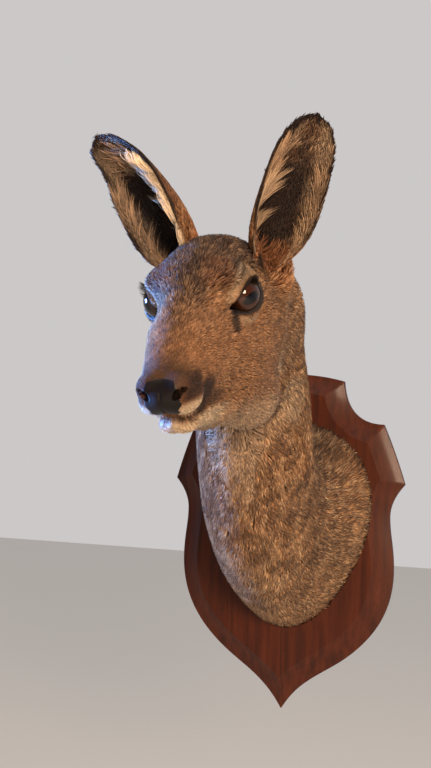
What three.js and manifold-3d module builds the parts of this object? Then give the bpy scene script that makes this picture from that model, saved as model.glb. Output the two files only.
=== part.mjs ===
// Roe deer shoulder mount on a wooden shield: a doe's head and neck, life size, millimetres.
// +Z is up, the wall is the plane y = 0 and the mount stands out from it towards -Y.
// +X is the deer's left. The origin is the centre of the shield's flat back.
import * as THREE from "three";
import { mergeVertices } from "three/addons/utils/BufferGeometryUtils.js";
import Module from "manifold-3d";

const wasm = await Module();
wasm.setup();

// ---------------------------------------------------------------- driving dimensions
const GAP = 0.3; // between neighbouring solids

const SHIELD = {
  height: 390,
  thickness: 20,
  side: 8.5, // straight edge before the cove starts
  bevel: 23, // width of the coved edge
  bellyHalf: 128.3,
  bellyZ: -28,
  waistHalf: 124,
  waistZ: 28,
  lugHalf: 141,
  lugZ: 66.5,
  earHalf: 117.5, // upper corner of the lug
  earZ: 134.3,
  crownHalf: 71, // corner of the top edge
  crownZ: 185,
  fine: 16, // points on each curve of the outline before it is cut into steps
  steps: [3, 4, 2, 18], // straight steps from corner to corner
  coveSteps: 3,
  cove: 1.35, // above 1 the bevel is hollow
};
const HANGER = { z: 118, width: 62, height: 24, pocket: 7, sheet: 1.2, teeth: 9 };
const SCREW = { head: 11, recess: 6, thick: 3, at: [62, -46] };

// Head frame: origin midway between the eyes, x to the deer's left, u forward along the jaw,
// w up. It is placed by these values.
const HEAD_AT = new THREE.Vector3(37, -366, 207.5);
const HEAD_YAW = 6.8;
const HEAD_PITCH = 32;
const HEAD_ROLL = 2.2;

// Stations along the jaw line: place, half width, top, height of the widest line, bottom, and
// how far the section stands to the deer's left.
const UPPER_HEAD = [
  { u: -88, half: 30, top: 10, mid: -18, low: -58, off: 6 }, // occiput
  { u: -62, half: 37.5, top: 32, mid: -12, low: -70, off: 8 }, // poll
  { u: -35, half: 40, top: 43, mid: -9, low: -72, off: 6 }, // crown
  { u: -8, half: 39, top: 42, mid: -10, low: -68, off: 2 }, // brow
  { u: 15, half: 36, top: 35, mid: -14, low: -62, off: 0 },
  { u: 40, half: 30.5, top: 23.5, mid: -19, low: -56, off: 0 },
  { u: 65, half: 25, top: 10.5, mid: -23, low: -49, off: 0 },
  { u: 88, half: 21, top: -3, mid: -26, low: -43, off: 0 }, // muzzle
  { u: 104, half: 18, top: -12.5, mid: -28, low: -42, off: 0 },
];
const LOWER_JAW = [
  { u: -55, half: 31, top: -40, mid: -74, low: -103, off: 0 }, // angle of the jaw
  { u: -25, half: 33, top: -40, mid: -75, low: -110, off: 0 },
  { u: 10, half: 31, top: -40, mid: -71, low: -103, off: 0 },
  { u: 40, half: 25, top: -38, mid: -62, low: -88, off: 0 },
  { u: 65, half: 19, top: -37, mid: -53, low: -73, off: 0 },
  { u: 86, half: 15.5, top: -38, mid: -48, low: -60.5, off: 0 }, // chin
];
const NOSE_CAP = { from: 96, to: 117 };
const CHIN_CAP = { from: 84, to: 101 };
const NAPE_CAP = { from: -70, to: -92 };
const JAW_CAP = { from: -30, to: -55 };
const LEAST_CLOSE = 0.02; // a capped end never shrinks quite to a point
const HEAD_SQUARE = 2.35; // 2 is an ellipse, more is squarer
const JAW_SQUARE = 2.2;
const JAW_BLEND = 10;

// Rounded masses laid over the two lofts, each on both sides: centre, half axes.
const SWELLINGS = [
  { name: "masseter", at: [26, -14, -52], size: [18, 42, 42], blend: 16 },
  { name: "orbit", at: [30, -5, 3], size: [15.5, 20, 18], blend: 8 },
  { name: "brow", at: [25, 4, 19], size: [12, 17, 10], blend: 9 },
  { name: "lip_pad", at: [10.5, 97, -34], size: [11, 15, 9.5], blend: 6 },
  { name: "nostril_wing", at: [11, 104, -22], size: [8.5, 10, 9], blend: 5 },
  { name: "chin_pad", at: [4.5, 90, -51], size: [11, 11, 9], blend: 5 },
];
const HOLLOWS = [
  { name: "tear_pit", at: [41, 27, -6], size: [9, 15, 10], blend: 8 },
];

const EYE = { at: [29.5, -1, 0], radius: 14.5, out: 50, up: 5, opening: [14.6, 11.6], slant: 28 };

// Where the animal is parted: along the neck, round the throat, where the muzzle begins, and the
// slanted plane behind the nose pad.
const NECK_CUT = 0.28;
const HEAD_CUT = 0.55;
const MUZZLE_CUT = 52;
const NOSE_CUT = { u: 107, w: -20, lean: 14 };

// The line between the lips and on along the jaw, forward to back, as u and w.
const MOUTH_LINE = [
  [130, -38],
  [112, -40],
  [98, -42.5],
  [84, -46],
  [60, -52],
  [20, -66],
  [-20, -82],
  [-50, -105],
  [-75, -128],
];

// Neck: the throat hinge in the head frame, and the sections from the shield to the head.
const THROAT = { u: -57, w: -102, reach: 61, turn: 84 };
const NECK_BASE = new THREE.Vector3(4, -SHIELD.thickness - GAP, 19);
const NECK_PULL = { base: 118, aside: -9, top: 80 };
const NECK_STATIONS = [
  { t: 0, half: 101, rise: 121 },
  { t: 0.06, half: 89, rise: 107 },
  { t: 0.18, half: 70, rise: 88 },
  { t: 0.34, half: 61, rise: 78 },
  { t: 0.52, half: 58, rise: 71 },
  { t: 0.7, half: 55, rise: 62 },
  { t: 0.86, half: 52, rise: 52 },
  { t: 1, half: 48, rise: 46 },
];
const NECK_EGG = 0.25; // how much the section narrows towards the brisket
const JOIN_BLEND = 27;

const EARS = {
  wall: 3.4,
  edge: 0.55, // share of the wall lost towards the rim and the tip
  bow: 5, // how far the back of the ear curves away
  columns: 8,
  rows: 12,
  left: { base: [33, -60, 0], tip: [95, -66, 119], face: 24, width: 52 },
  right: { base: [-9, -60, 0], tip: [-71, -56, 126], face: 20, width: 58 },
};
// From root to tip: outline width as a share of the greatest, and half the angle it is rolled through.
const EAR_STATIONS = [
  { s: 0, width: 0.35, roll: 150 },
  { s: 0.15, width: 0.58, roll: 135 },
  { s: 0.3, width: 0.84, roll: 115 },
  { s: 0.5, width: 0.98, roll: 90 },
  { s: 0.7, width: 0.97, roll: 64 },
  { s: 0.86, width: 0.76, roll: 46 },
  { s: 0.95, width: 0.45, roll: 30 },
  { s: 1, width: 0.12, roll: 15 },
];

const COLOURS = {
  coat: 0x8a6b4d,
  face: 0x9a7753,
  nose: 0x17161a,
  eye: 0x2b140b,
  cream: 0xd9c3a0,
  wood: 0x6b3218,
  brass: 0xa88a4a,
};

// ---------------------------------------------------------------- small helpers
const rad = THREE.MathUtils.degToRad;
const clamp = THREE.MathUtils.clamp;

function headMatrix() {
  const yaw = rad(HEAD_YAW);
  const pitch = rad(HEAD_PITCH);
  const roll = rad(HEAD_ROLL);
  const side = new THREE.Vector3(Math.cos(yaw), Math.sin(yaw), 0);
  const forward = new THREE.Vector3(
    Math.sin(yaw) * Math.cos(pitch),
    -Math.cos(yaw) * Math.cos(pitch),
    -Math.sin(pitch),
  );
  const up = new THREE.Vector3().crossVectors(forward, side);
  const x = side.clone().multiplyScalar(Math.cos(roll)).addScaledVector(up, Math.sin(roll));
  const w = up.clone().multiplyScalar(Math.cos(roll)).addScaledVector(side, -Math.sin(roll));
  return new THREE.Matrix4().makeBasis(x, forward.negate(), w).setPosition(HEAD_AT);
}
const HEAD = headMatrix(); // its own y runs backwards, so u is -y
const HEAD_INVERSE = HEAD.clone().invert();
const headPoint = (x, u, w) => new THREE.Vector3(x, -u, w).applyMatrix4(HEAD);
const headWay = (x, u, w) => new THREE.Vector3(x, -u, w).transformDirection(HEAD);

// Value of a named field at a place between stations, by a cubic with finite-difference slopes.
function along(stations, key, field, at) {
  const n = stations.length;
  if (at <= stations[0][key]) return stations[0][field];
  if (at >= stations[n - 1][key]) return stations[n - 1][field];
  let i = 0;
  while (stations[i + 1][key] < at) i += 1;
  const a = stations[i];
  const b = stations[i + 1];
  const slope = (p, q) => (q[field] - p[field]) / (q[key] - p[key]);
  const here = slope(a, b);
  const before = i > 0 ? (slope(stations[i - 1], a) + here) / 2 : here;
  const after = i < n - 2 ? (here + slope(b, stations[i + 2])) / 2 : here;
  const d = b[key] - a[key];
  const t = (at - a[key]) / d;
  const t2 = t * t;
  const t3 = t2 * t;
  return (
    a[field] * (2 * t3 - 3 * t2 + 1) +
    before * d * (t3 - 2 * t2 + t) +
    b[field] * (3 * t2 - 2 * t3) +
    after * d * (t3 - t2)
  );
}

function smoothUnion(a, b, k) {
  const h = clamp(0.5 + (0.5 * (b - a)) / k, 0, 1);
  return b + (a - b) * h - k * h * (1 - h);
}
const smoothCut = (a, b, k) => -smoothUnion(-a, b, k);

// ---------------------------------------------------------------- the outline as a field
// Below zero inside the animal and above zero outside, close to a distance in mm near the surface.
function rounded(u, cap) {
  const share = (u - cap.from) / (cap.to - cap.from);
  return share > 0 ? Math.sqrt(Math.max(0, 1 - share * share)) : 1;
}

function loft(x, u, w, stations, front, back, power) {
  const half = along(stations, "u", "half", u);
  const top = along(stations, "u", "top", u);
  const mid = along(stations, "u", "mid", u);
  const low = along(stations, "u", "low", u);
  const aside = Math.abs(x - along(stations, "u", "off", u));
  const close = Math.max(Math.min(rounded(u, front), rounded(u, back)), LEAST_CLOSE);
  const rise = (w > mid ? top - mid : mid - low) * close;
  const across = (aside / (half * close)) ** power;
  const norm = (across + (Math.abs(w - mid) / rise) ** power) ** (1 / power);
  const past = Math.max(u - front.to, back.to - u, 0);
  return (norm - 1) * Math.min(half, rise) + past;
}

function ellipsoid(x, u, w, at, size) {
  const k = Math.hypot((x - at[0]) / size[0], (u - at[1]) / size[1], (w - at[2]) / size[2]);
  return (k - 1) * Math.min(...size);
}

function headField(x, u, w) {
  const side = Math.abs(x);
  let d = loft(x, u, w, UPPER_HEAD, NOSE_CAP, NAPE_CAP, HEAD_SQUARE);
  d = smoothUnion(d, loft(x, u, w, LOWER_JAW, CHIN_CAP, JAW_CAP, JAW_SQUARE), JAW_BLEND);
  for (const s of SWELLINGS) d = smoothUnion(d, ellipsoid(side, u, w, s.at, s.size), s.blend);
  for (const s of HOLLOWS) d = smoothCut(d, ellipsoid(side, u, w, s.at, s.size), s.blend);
  return d;
}

// Centre line of the neck: a curve up from the shield, then an arc about the throat.
function neckLine() {
  const turn = rad(THROAT.turn);
  const arcPoint = (a) =>
    headPoint(0, THROAT.u - THROAT.reach * Math.sin(a), THROAT.w + THROAT.reach * Math.cos(a));
  const top = arcPoint(turn);
  const down = headWay(0, -Math.cos(turn), -Math.sin(turn));
  const curve = new THREE.CubicBezierCurve3(
    NECK_BASE,
    NECK_BASE.clone().add(new THREE.Vector3(NECK_PULL.aside, -NECK_PULL.base, 0)),
    top.clone().addScaledVector(down, NECK_PULL.top),
    top,
  );
  const arcLength = THROAT.reach * turn;
  const total = curve.getLength() + arcLength;
  const samples = 96;
  const points = [];
  for (let i = 0; i <= samples; i += 1) {
    const at = (i / samples) * total;
    const past = at - (total - arcLength);
    const onCurve = past < 0;
    points.push(onCurve ? curve.getPointAt(at / (total - arcLength)) : arcPoint(turn - past / THROAT.reach));
  }
  const side = headWay(1, 0, 0);
  return points.map((at, i) => {
    const next = points[Math.min(i + 1, samples)];
    const tangent = next.clone().sub(points[Math.max(i - 1, 0)]).normalize();
    if (i === 0) tangent.set(0, -1, 0);
    const blend = i / samples;
    const across = new THREE.Vector3(1, 0, 0).lerp(side, blend);
    across.addScaledVector(tangent, -across.dot(tangent)).normalize();
    return { at, tangent, across, up: new THREE.Vector3().crossVectors(tangent, across) };
  });
}
const NECK = neckLine();
const NECK_STEP = NECK[0].at.distanceTo(NECK[1].at);

function neckField(p) {
  let best = 0;
  let least = Infinity;
  for (let i = 0; i < NECK.length; i += 1) {
    const d = p.distanceToSquared(NECK[i].at);
    if (d < least) {
      least = d;
      best = i;
    }
  }
  const near = NECK[best];
  const off = p.clone().sub(near.at);
  const t = clamp((best + off.dot(near.tangent) / NECK_STEP) / (NECK.length - 1), 0, 1);
  const half = along(NECK_STATIONS, "t", "half", t);
  const rise = along(NECK_STATIONS, "t", "rise", t);
  const v = off.dot(near.up) / rise;
  const egg = 1 + NECK_EGG * (1 - t) * clamp(v, -1, 1);
  const past = best === NECK.length - 1 ? Math.max(off.dot(near.tangent), 0) / half : 0;
  return (Math.hypot(off.dot(near.across) / (half * egg), v, past) - 1) * Math.min(half, rise);
}

const probe = new THREE.Vector3();
function outline(p) {
  probe.copy(p).applyMatrix4(HEAD_INVERSE);
  return smoothUnion(headField(probe.x, -probe.y, probe.z), neckField(p), JOIN_BLEND);
}

// Where a ray from inside the animal leaves it: coarse steps out, then halving.
const STRIDE = 4;
const BODY_REACH = 180;
const END_REACH = 60;
function leave(from, way, field, reach) {
  let inside = 0;
  let outside = reach;
  for (let r = STRIDE; r <= reach; r += STRIDE) {
    if (field(from.clone().addScaledVector(way, r)) > 0) {
      outside = r;
      break;
    }
    inside = r;
  }
  for (let k = 0; k < 14; k += 1) {
    const r = (inside + outside) / 2;
    if (field(from.clone().addScaledVector(way, r)) > 0) outside = r;
    else inside = r;
  }
  return from.clone().addScaledVector(way, (inside + outside) / 2);
}

// ---------------------------------------------------------------- solids
function solidOf(geometry) {
  geometry.deleteAttribute("normal");
  geometry.deleteAttribute("uv");
  const merged = mergeVertices(geometry, 1e-4);
  return new wasm.Manifold(
    new wasm.Mesh({
      numProp: 3,
      vertProperties: new Float32Array(merged.attributes.position.array),
      triVerts: new Uint32Array(merged.index.array),
    }),
  );
}

function geometryOf(solid) {
  const mesh = solid.getMesh();
  const geometry = new THREE.BufferGeometry();
  geometry.setAttribute("position", new THREE.BufferAttribute(new Float32Array(mesh.vertProperties), 3));
  geometry.setIndex(new THREE.BufferAttribute(new Uint32Array(mesh.triVerts), 1));
  geometry.computeVertexNormals();
  return geometry;
}

// Rings of the skin: on the neck they stand across its centre line, at the throat they fan out,
// and on the head they stand across the jaw.
const RINGS = { neck: 17, fan: 6, head: 36, around: 36 };
const HEAD_AXIS = [
  { u: -42, w: -13 },
  { u: 0, w: -12 },
  { u: 50, w: -22 },
  { u: 90, w: -28 },
  { u: 112, w: -27 },
];

function ringFrames() {
  const turn = rad(THROAT.turn);
  const arcShare = (THROAT.reach * turn) / (NECK_STEP * (NECK.length - 1));
  const frames = [];
  for (let i = 0; i < RINGS.neck; i += 1) {
    const t = (i / RINGS.neck) * (1 - arcShare) * (NECK.length - 1);
    const a = NECK[Math.floor(t)];
    const b = NECK[Math.floor(t) + 1];
    const s = t - Math.floor(t);
    frames.push({
      at: a.at.clone().lerp(b.at, s),
      across: a.across.clone().lerp(b.across, s).normalize(),
      up: a.up.clone().lerp(b.up, s).normalize(),
    });
  }
  for (let i = 0; i < RINGS.fan; i += 1) {
    const a = turn * (1 - i / RINGS.fan);
    const at = headPoint(0, THROAT.u - THROAT.reach * Math.sin(a), THROAT.w + THROAT.reach * Math.cos(a));
    frames.push({ at, across: headWay(1, 0, 0), up: headWay(0, -Math.sin(a), Math.cos(a)) });
  }
  const first = HEAD_AXIS[0].u;
  const last = HEAD_AXIS[HEAD_AXIS.length - 1].u;
  for (let i = 0; i < RINGS.head; i += 1) {
    const s = i / (RINGS.head - 1);
    const u = first + (last - first) * s;
    const at = headPoint(0, u, along(HEAD_AXIS, "u", "w", u));
    frames.push({ at, across: headWay(1, 0, 0), up: headWay(0, 0, 1) });
  }
  return frames;
}

// The whole animal without its ears, grown outwards by a margin.
function bodySolid(grow = 0) {
  const frames = ringFrames();
  const field = (p) => outline(p) - grow;
  const rows = frames.length + 1;
  const geometry = new THREE.SphereGeometry(1, RINGS.around, rows);
  const position = geometry.attributes.position;
  const end = HEAD_AXIS[HEAD_AXIS.length - 1];
  const nose = leave(headPoint(0, end.u, end.w), headWay(0, 1, 0), field, END_REACH);
  let k = 0;
  for (let row = 0; row <= rows; row += 1) {
    for (let i = 0; i <= RINGS.around; i += 1) {
      const frame = frames[frames.length - row];
      const a = (i / RINGS.around) * 2 * Math.PI;
      let p;
      if (row === 0) p = nose;
      else if (row === rows) p = NECK_BASE;
      else {
        const way = frame.across.clone().multiplyScalar(Math.cos(a)).addScaledVector(frame.up, Math.sin(a));
        p = leave(frame.at, way, field, BODY_REACH);
      }
      position.setXYZ(k, p.x, p.y, p.z);
      k += 1;
    }
  }
  return solidOf(geometry);
}

// A half space as a large box: all that lies past a plane, on the side its normal points to.
function beyond(point, normal, shift) {
  const reach = 1200;
  const geometry = new THREE.BoxGeometry(reach, reach, reach);
  geometry.translate(0, 0, reach / 2 + shift);
  geometry.applyQuaternion(new THREE.Quaternion().setFromUnitVectors(new THREE.Vector3(0, 0, 1), normal));
  geometry.translate(point.x, point.y, point.z);
  return solidOf(geometry);
}

// Parts a solid by a thin plane cut: [the side the normal points to, the other side].
function part(solid, point, normal) {
  const before = solid.intersect(beyond(point, normal, GAP / 2));
  const behind = solid.subtract(beyond(point, normal, -GAP / 2));
  return [before, behind];
}

function eyeBall(sign, grow) {
  const geometry = new THREE.SphereGeometry(EYE.radius + grow, 16, 12);
  const at = headPoint(sign * EYE.at[0], EYE.at[1], EYE.at[2]);
  geometry.translate(at.x, at.y, at.z);
  return solidOf(geometry);
}

// The gap between the lids, an oval cut along the eye's own axis.
function lidOpening(sign) {
  const out = rad(EYE.out);
  const up = rad(EYE.up);
  const slant = rad(EYE.slant);
  const way = headWay(sign * Math.sin(out) * Math.cos(up), Math.cos(out) * Math.cos(up), Math.sin(up));
  const long = headWay(-sign * Math.cos(out), Math.sin(out), 0).multiplyScalar(Math.cos(slant));
  long.addScaledVector(headWay(0, 0, 1), -Math.sin(slant));
  long.addScaledVector(way, -long.dot(way)).normalize();
  const depth = 40;
  const geometry = new THREE.CylinderGeometry(1, 1, depth, 24);
  geometry.translate(0, depth / 2, 0);
  geometry.scale(EYE.opening[0], 1, EYE.opening[1]);
  const short = new THREE.Vector3().crossVectors(long, way);
  geometry.applyMatrix4(new THREE.Matrix4().makeBasis(long, way, short));
  const at = headPoint(sign * EYE.at[0], EYE.at[1], EYE.at[2]);
  geometry.translate(at.x, at.y, at.z);
  return solidOf(geometry);
}

// The lower jaw's share of the head: the prism below the mouth line, moved up by a shift.
function jawPrism(shift) {
  const line = new THREE.SplineCurve(MOUTH_LINE.map(([u, w]) => new THREE.Vector2(-u, w + shift)));
  const last = MOUTH_LINE.length - 1;
  const deep = -130;
  const outline2d = [
    ...line.getPoints(24),
    new THREE.Vector2(-MOUTH_LINE[last][0], deep),
    new THREE.Vector2(-MOUTH_LINE[0][0], deep),
  ];
  const width = 200;
  const shape = new THREE.Shape(outline2d);
  const geometry = new THREE.ExtrudeGeometry(shape, { depth: width, bevelEnabled: false });
  geometry.translate(0, 0, -width / 2);
  // The shape's x runs backwards, its y up and the depth across.
  const place = new THREE.Matrix4().makeBasis(headWay(0, -1, 0), headWay(0, 0, 1), headWay(1, 0, 0));
  geometry.applyMatrix4(place.setPosition(HEAD_AT));
  return solidOf(geometry);
}

// An ear: a leaf rolled into a tube at its root and open like a spoon towards its tip.
function earSolid(ear, sign) {
  const base = headPoint(...ear.base);
  const tip = headPoint(...ear.tip);
  const axis = tip.clone().sub(base);
  const length = axis.length();
  axis.normalize();
  const turn = rad(ear.face);
  const facing = headWay(sign * Math.sin(turn), Math.cos(turn), 0);
  facing.addScaledVector(axis, -facing.dot(axis)).normalize();
  const across = new THREE.Vector3().crossVectors(axis, facing);
  const geometry = new THREE.BoxGeometry(1, 1, 1, EARS.columns, EARS.rows, 1);
  const position = geometry.attributes.position;
  for (let i = 0; i < position.count; i += 1) {
    const v = 2 * position.getX(i);
    const s = position.getY(i) + 0.5;
    const outer = position.getZ(i) < 0;
    const half = (along(EAR_STATIONS, "s", "width", s) / 2) * ear.width;
    const roll = rad(along(EAR_STATIONS, "s", "roll", s));
    const radius = half / Math.sin(Math.min(roll, Math.PI / 2));
    const wall = EARS.wall * (1 - EARS.edge * v * v) * (1 - EARS.edge * s ** 8);
    const r = radius + (outer ? wall / 2 : -wall / 2);
    const a = v * roll;
    const bow = EARS.bow * Math.sin(Math.PI * s);
    const p = base
      .clone()
      .addScaledVector(axis, s * length)
      .addScaledVector(facing, radius - r * Math.cos(a) - bow)
      .addScaledVector(across, r * Math.sin(a));
    position.setXYZ(i, p.x, p.y, p.z);
  }
  return solidOf(geometry);
}

// ---------------------------------------------------------------- the shield
// The right half of the outline as curves that meet at its corners, from the top's middle to the tip.
function shieldCurves() {
  const { height, bellyHalf, bellyZ, waistHalf, waistZ, lugHalf, lugZ } = SHIELD;
  const { earHalf, earZ, crownHalf, crownZ } = SHIELD;
  const point = (x, z) => new THREE.Vector2(x, z);
  const bend = (a, b, c) => new THREE.QuadraticBezierCurve(a, b, c).getPoints(SHIELD.fine);
  const sweep = (a, b, c, d) => new THREE.CubicBezierCurve(a, b, c, d).getPoints(SHIELD.fine);
  const crown = point(crownHalf, crownZ);
  const ear = point(earHalf, earZ);
  const lug = point(lugHalf, lugZ);
  const waist = point(waistHalf, waistZ);
  const belly = point(bellyHalf, bellyZ);
  const hip = point(0.53 * bellyHalf, bellyZ - 108);
  return [
    bend(point(0, height / 2), point(0.56 * crownHalf, height / 2 - 0.5), crown),
    bend(crown, point(crownHalf + 3, earZ + 1.5), ear),
    bend(ear, point(0.5 * (earHalf + lugHalf) + 2, 0.5 * (earZ + lugZ)), lug),
    [
      ...sweep(lug, point(waistHalf + 9, lugZ - 9), point(waistHalf - 0.5, lugZ - 22), waist),
      ...sweep(waist, point(waistHalf, waistZ - 18), point(bellyHalf, bellyZ + 24), belly).slice(1),
      ...sweep(belly, point(bellyHalf, bellyZ - 47), point(0.83 * bellyHalf, bellyZ - 80), hip).slice(1),
      ...sweep(
        hip,
        point(0.33 * bellyHalf, bellyZ - 126),
        point(0.15 * bellyHalf, bellyZ - 136),
        point(0, -height / 2),
      ).slice(1),
    ],
  ];
}

// A line moved sideways into the shield, every point along its own normal.
function movedIn(line, distance) {
  return line.map((p, i) => {
    const way = line[Math.min(i + 1, line.length - 1)].clone().sub(line[Math.max(i - 1, 0)]).normalize();
    return new THREE.Vector2(p.x + way.y * distance, p.y - way.x * distance);
  });
}

// Where two lines cross: how far along each, counted in points, and the place.
function crossing(first, second) {
  for (let i = first.length - 2; i >= 0; i -= 1)
    for (let j = 0; j + 1 < second.length; j += 1) {
      const a = first[i];
      const r = first[i + 1].clone().sub(a);
      const c = second[j];
      const q = second[j + 1].clone().sub(c);
      const area = r.cross(q);
      const gap = c.clone().sub(a);
      const s = gap.cross(q) / area;
      const t = gap.cross(r) / area;
      if (s >= 0 && s <= 1 && t >= 0 && t <= 1) return { i, j, at: a.clone().addScaledVector(r, s) };
    }
  return null;
}

// A line cut into equal steps.
function evenSteps(line, steps) {
  const path = new THREE.CurvePath();
  for (let i = 0; i + 1 < line.length; i += 1) path.add(new THREE.LineCurve(line[i], line[i + 1]));
  const points = [];
  for (let i = 0; i < steps; i += 1) points.push(path.getPointAt(i / steps));
  return points;
}

// The closed outline drawn in by a distance, its corners mitred.
function shieldRing(distance) {
  const lines = shieldCurves().map((line) => movedIn(line, distance));
  const axis = [new THREE.Vector2(0, SHIELD.height), new THREE.Vector2(0, -SHIELD.height)];
  lines[0][0].x = 0;
  for (let k = 0; k < lines.length; k += 1) {
    const next = k + 1 < lines.length ? lines[k + 1] : axis;
    const met = distance > 0 ? crossing(lines[k], next) : null;
    if (!met) continue;
    lines[k] = [...lines[k].slice(0, met.i + 1), met.at];
    if (k + 1 < lines.length) lines[k + 1] = [met.at, ...next.slice(met.j + 1)];
  }
  const right = lines.flatMap((line, k) => evenSteps(line, SHIELD.steps[k]));
  const left = right.slice(1).reverse().map((p) => new THREE.Vector2(-p.x, p.y));
  const tip = lines[lines.length - 1][lines[lines.length - 1].length - 1];
  return [...right, new THREE.Vector2(0, tip.y), ...left];
}

function shieldSolid() {
  const layers = [{ draw: 0, y: 0 }];
  for (let i = 0; i <= SHIELD.coveSteps; i += 1) {
    const s = i / SHIELD.coveSteps;
    layers.push({
      draw: SHIELD.bevel * s,
      y: -SHIELD.side - (SHIELD.thickness - SHIELD.side) * s ** SHIELD.cove,
    });
  }
  const rings = layers.map(({ draw, y }) => shieldRing(draw).map((p) => [p.x, y, p.y]));
  const n = rings[0].length;
  const faces = [];
  for (let k = 0; k + 1 < rings.length; k += 1)
    for (let i = 0; i < n; i += 1) {
      const a = k * n + i;
      const b = k * n + ((i + 1) % n);
      faces.push([a, a + n, b], [b, a + n, b + n]);
    }
  const cap = (ring, first, turned) => {
    const flat = ring.map((p) => new THREE.Vector2(p[0], p[2]));
    const made = THREE.ShapeUtils.triangulateShape(flat, []);
    const area = made.reduce((sum, ids) => sum + THREE.ShapeUtils.area(ids.map((id) => flat[id])), 0);
    for (const [a, b, c] of made)
      faces.push(area < 0 === turned ? [first + a, first + b, first + c] : [first + a, first + c, first + b]);
  };
  cap(rings[0], 0, true);
  cap(rings[rings.length - 1], (rings.length - 1) * n, false);
  const geometry = new THREE.BufferGeometry();
  geometry.setAttribute("position", new THREE.Float32BufferAttribute(rings.flat(2), 3));
  geometry.setIndex(faces.flat());
  return solidOf(geometry);
}

function roundedPlate(width, height, depth, corner) {
  const shape = new THREE.Shape();
  const x = width / 2 - corner;
  const y = height / 2 - corner;
  shape.absarc(x, y, corner, 0, Math.PI / 2, false);
  shape.absarc(-x, y, corner, Math.PI / 2, Math.PI, false);
  shape.absarc(-x, -y, corner, Math.PI, 1.5 * Math.PI, false);
  shape.absarc(x, -y, corner, 1.5 * Math.PI, 2 * Math.PI, false);
  return new THREE.ExtrudeGeometry(shape, { depth, bevelEnabled: false, curveSegments: 4 });
}

// Stands an extrusion made in x and y up against the wall, its first face at a depth in front of it.
function onWall(geometry, depth, z) {
  geometry.rotateX(Math.PI / 2);
  geometry.translate(0, -depth, z);
  return geometry;
}

function screwRecess(z) {
  const geometry = new THREE.CylinderGeometry(SCREW.head / 2, SCREW.head / 2, SCREW.recess + 1, 20);
  geometry.translate(0, 1 - (SCREW.recess + 1) / 2, z);
  return solidOf(geometry);
}

// A domed screw head sunk in the back of the shield.
function screwSolid(z) {
  const r = SCREW.head / 2 - GAP;
  const profile = [
    new THREE.Vector2(0, 0),
    new THREE.Vector2(r, 0),
    new THREE.Vector2(r, SCREW.thick * 0.5),
    new THREE.Vector2(r * 0.7, SCREW.thick * 0.85),
    new THREE.Vector2(0, SCREW.thick),
  ];
  const geometry = new THREE.LatheGeometry(profile, 20);
  geometry.translate(0, -SCREW.recess + GAP, z);
  return solidOf(geometry);
}

// A strip with a toothed lower edge, for a nail, on the floor of its pocket in the shield's back.
function hangerSolid() {
  const half = HANGER.width / 2 - 3;
  const rise = HANGER.height / 2 - 5;
  const shape = new THREE.Shape();
  shape.moveTo(-half, rise);
  shape.lineTo(-half, -rise * 0.4);
  const pitch = (half * 1.3) / HANGER.teeth;
  for (let i = 0; i < HANGER.teeth; i += 1) {
    const x = -half * 0.65 + i * pitch;
    shape.lineTo(x, -rise * 0.6);
    shape.lineTo(x + pitch / 2, -rise * 0.1);
  }
  shape.lineTo(half * 0.65, -rise * 0.6);
  shape.lineTo(half, -rise * 0.4);
  shape.lineTo(half, rise);
  const geometry = new THREE.ExtrudeGeometry(shape, { depth: HANGER.sheet, bevelEnabled: false });
  return solidOf(onWall(geometry, HANGER.pocket - HANGER.sheet - GAP, HANGER.z));
}

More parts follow.
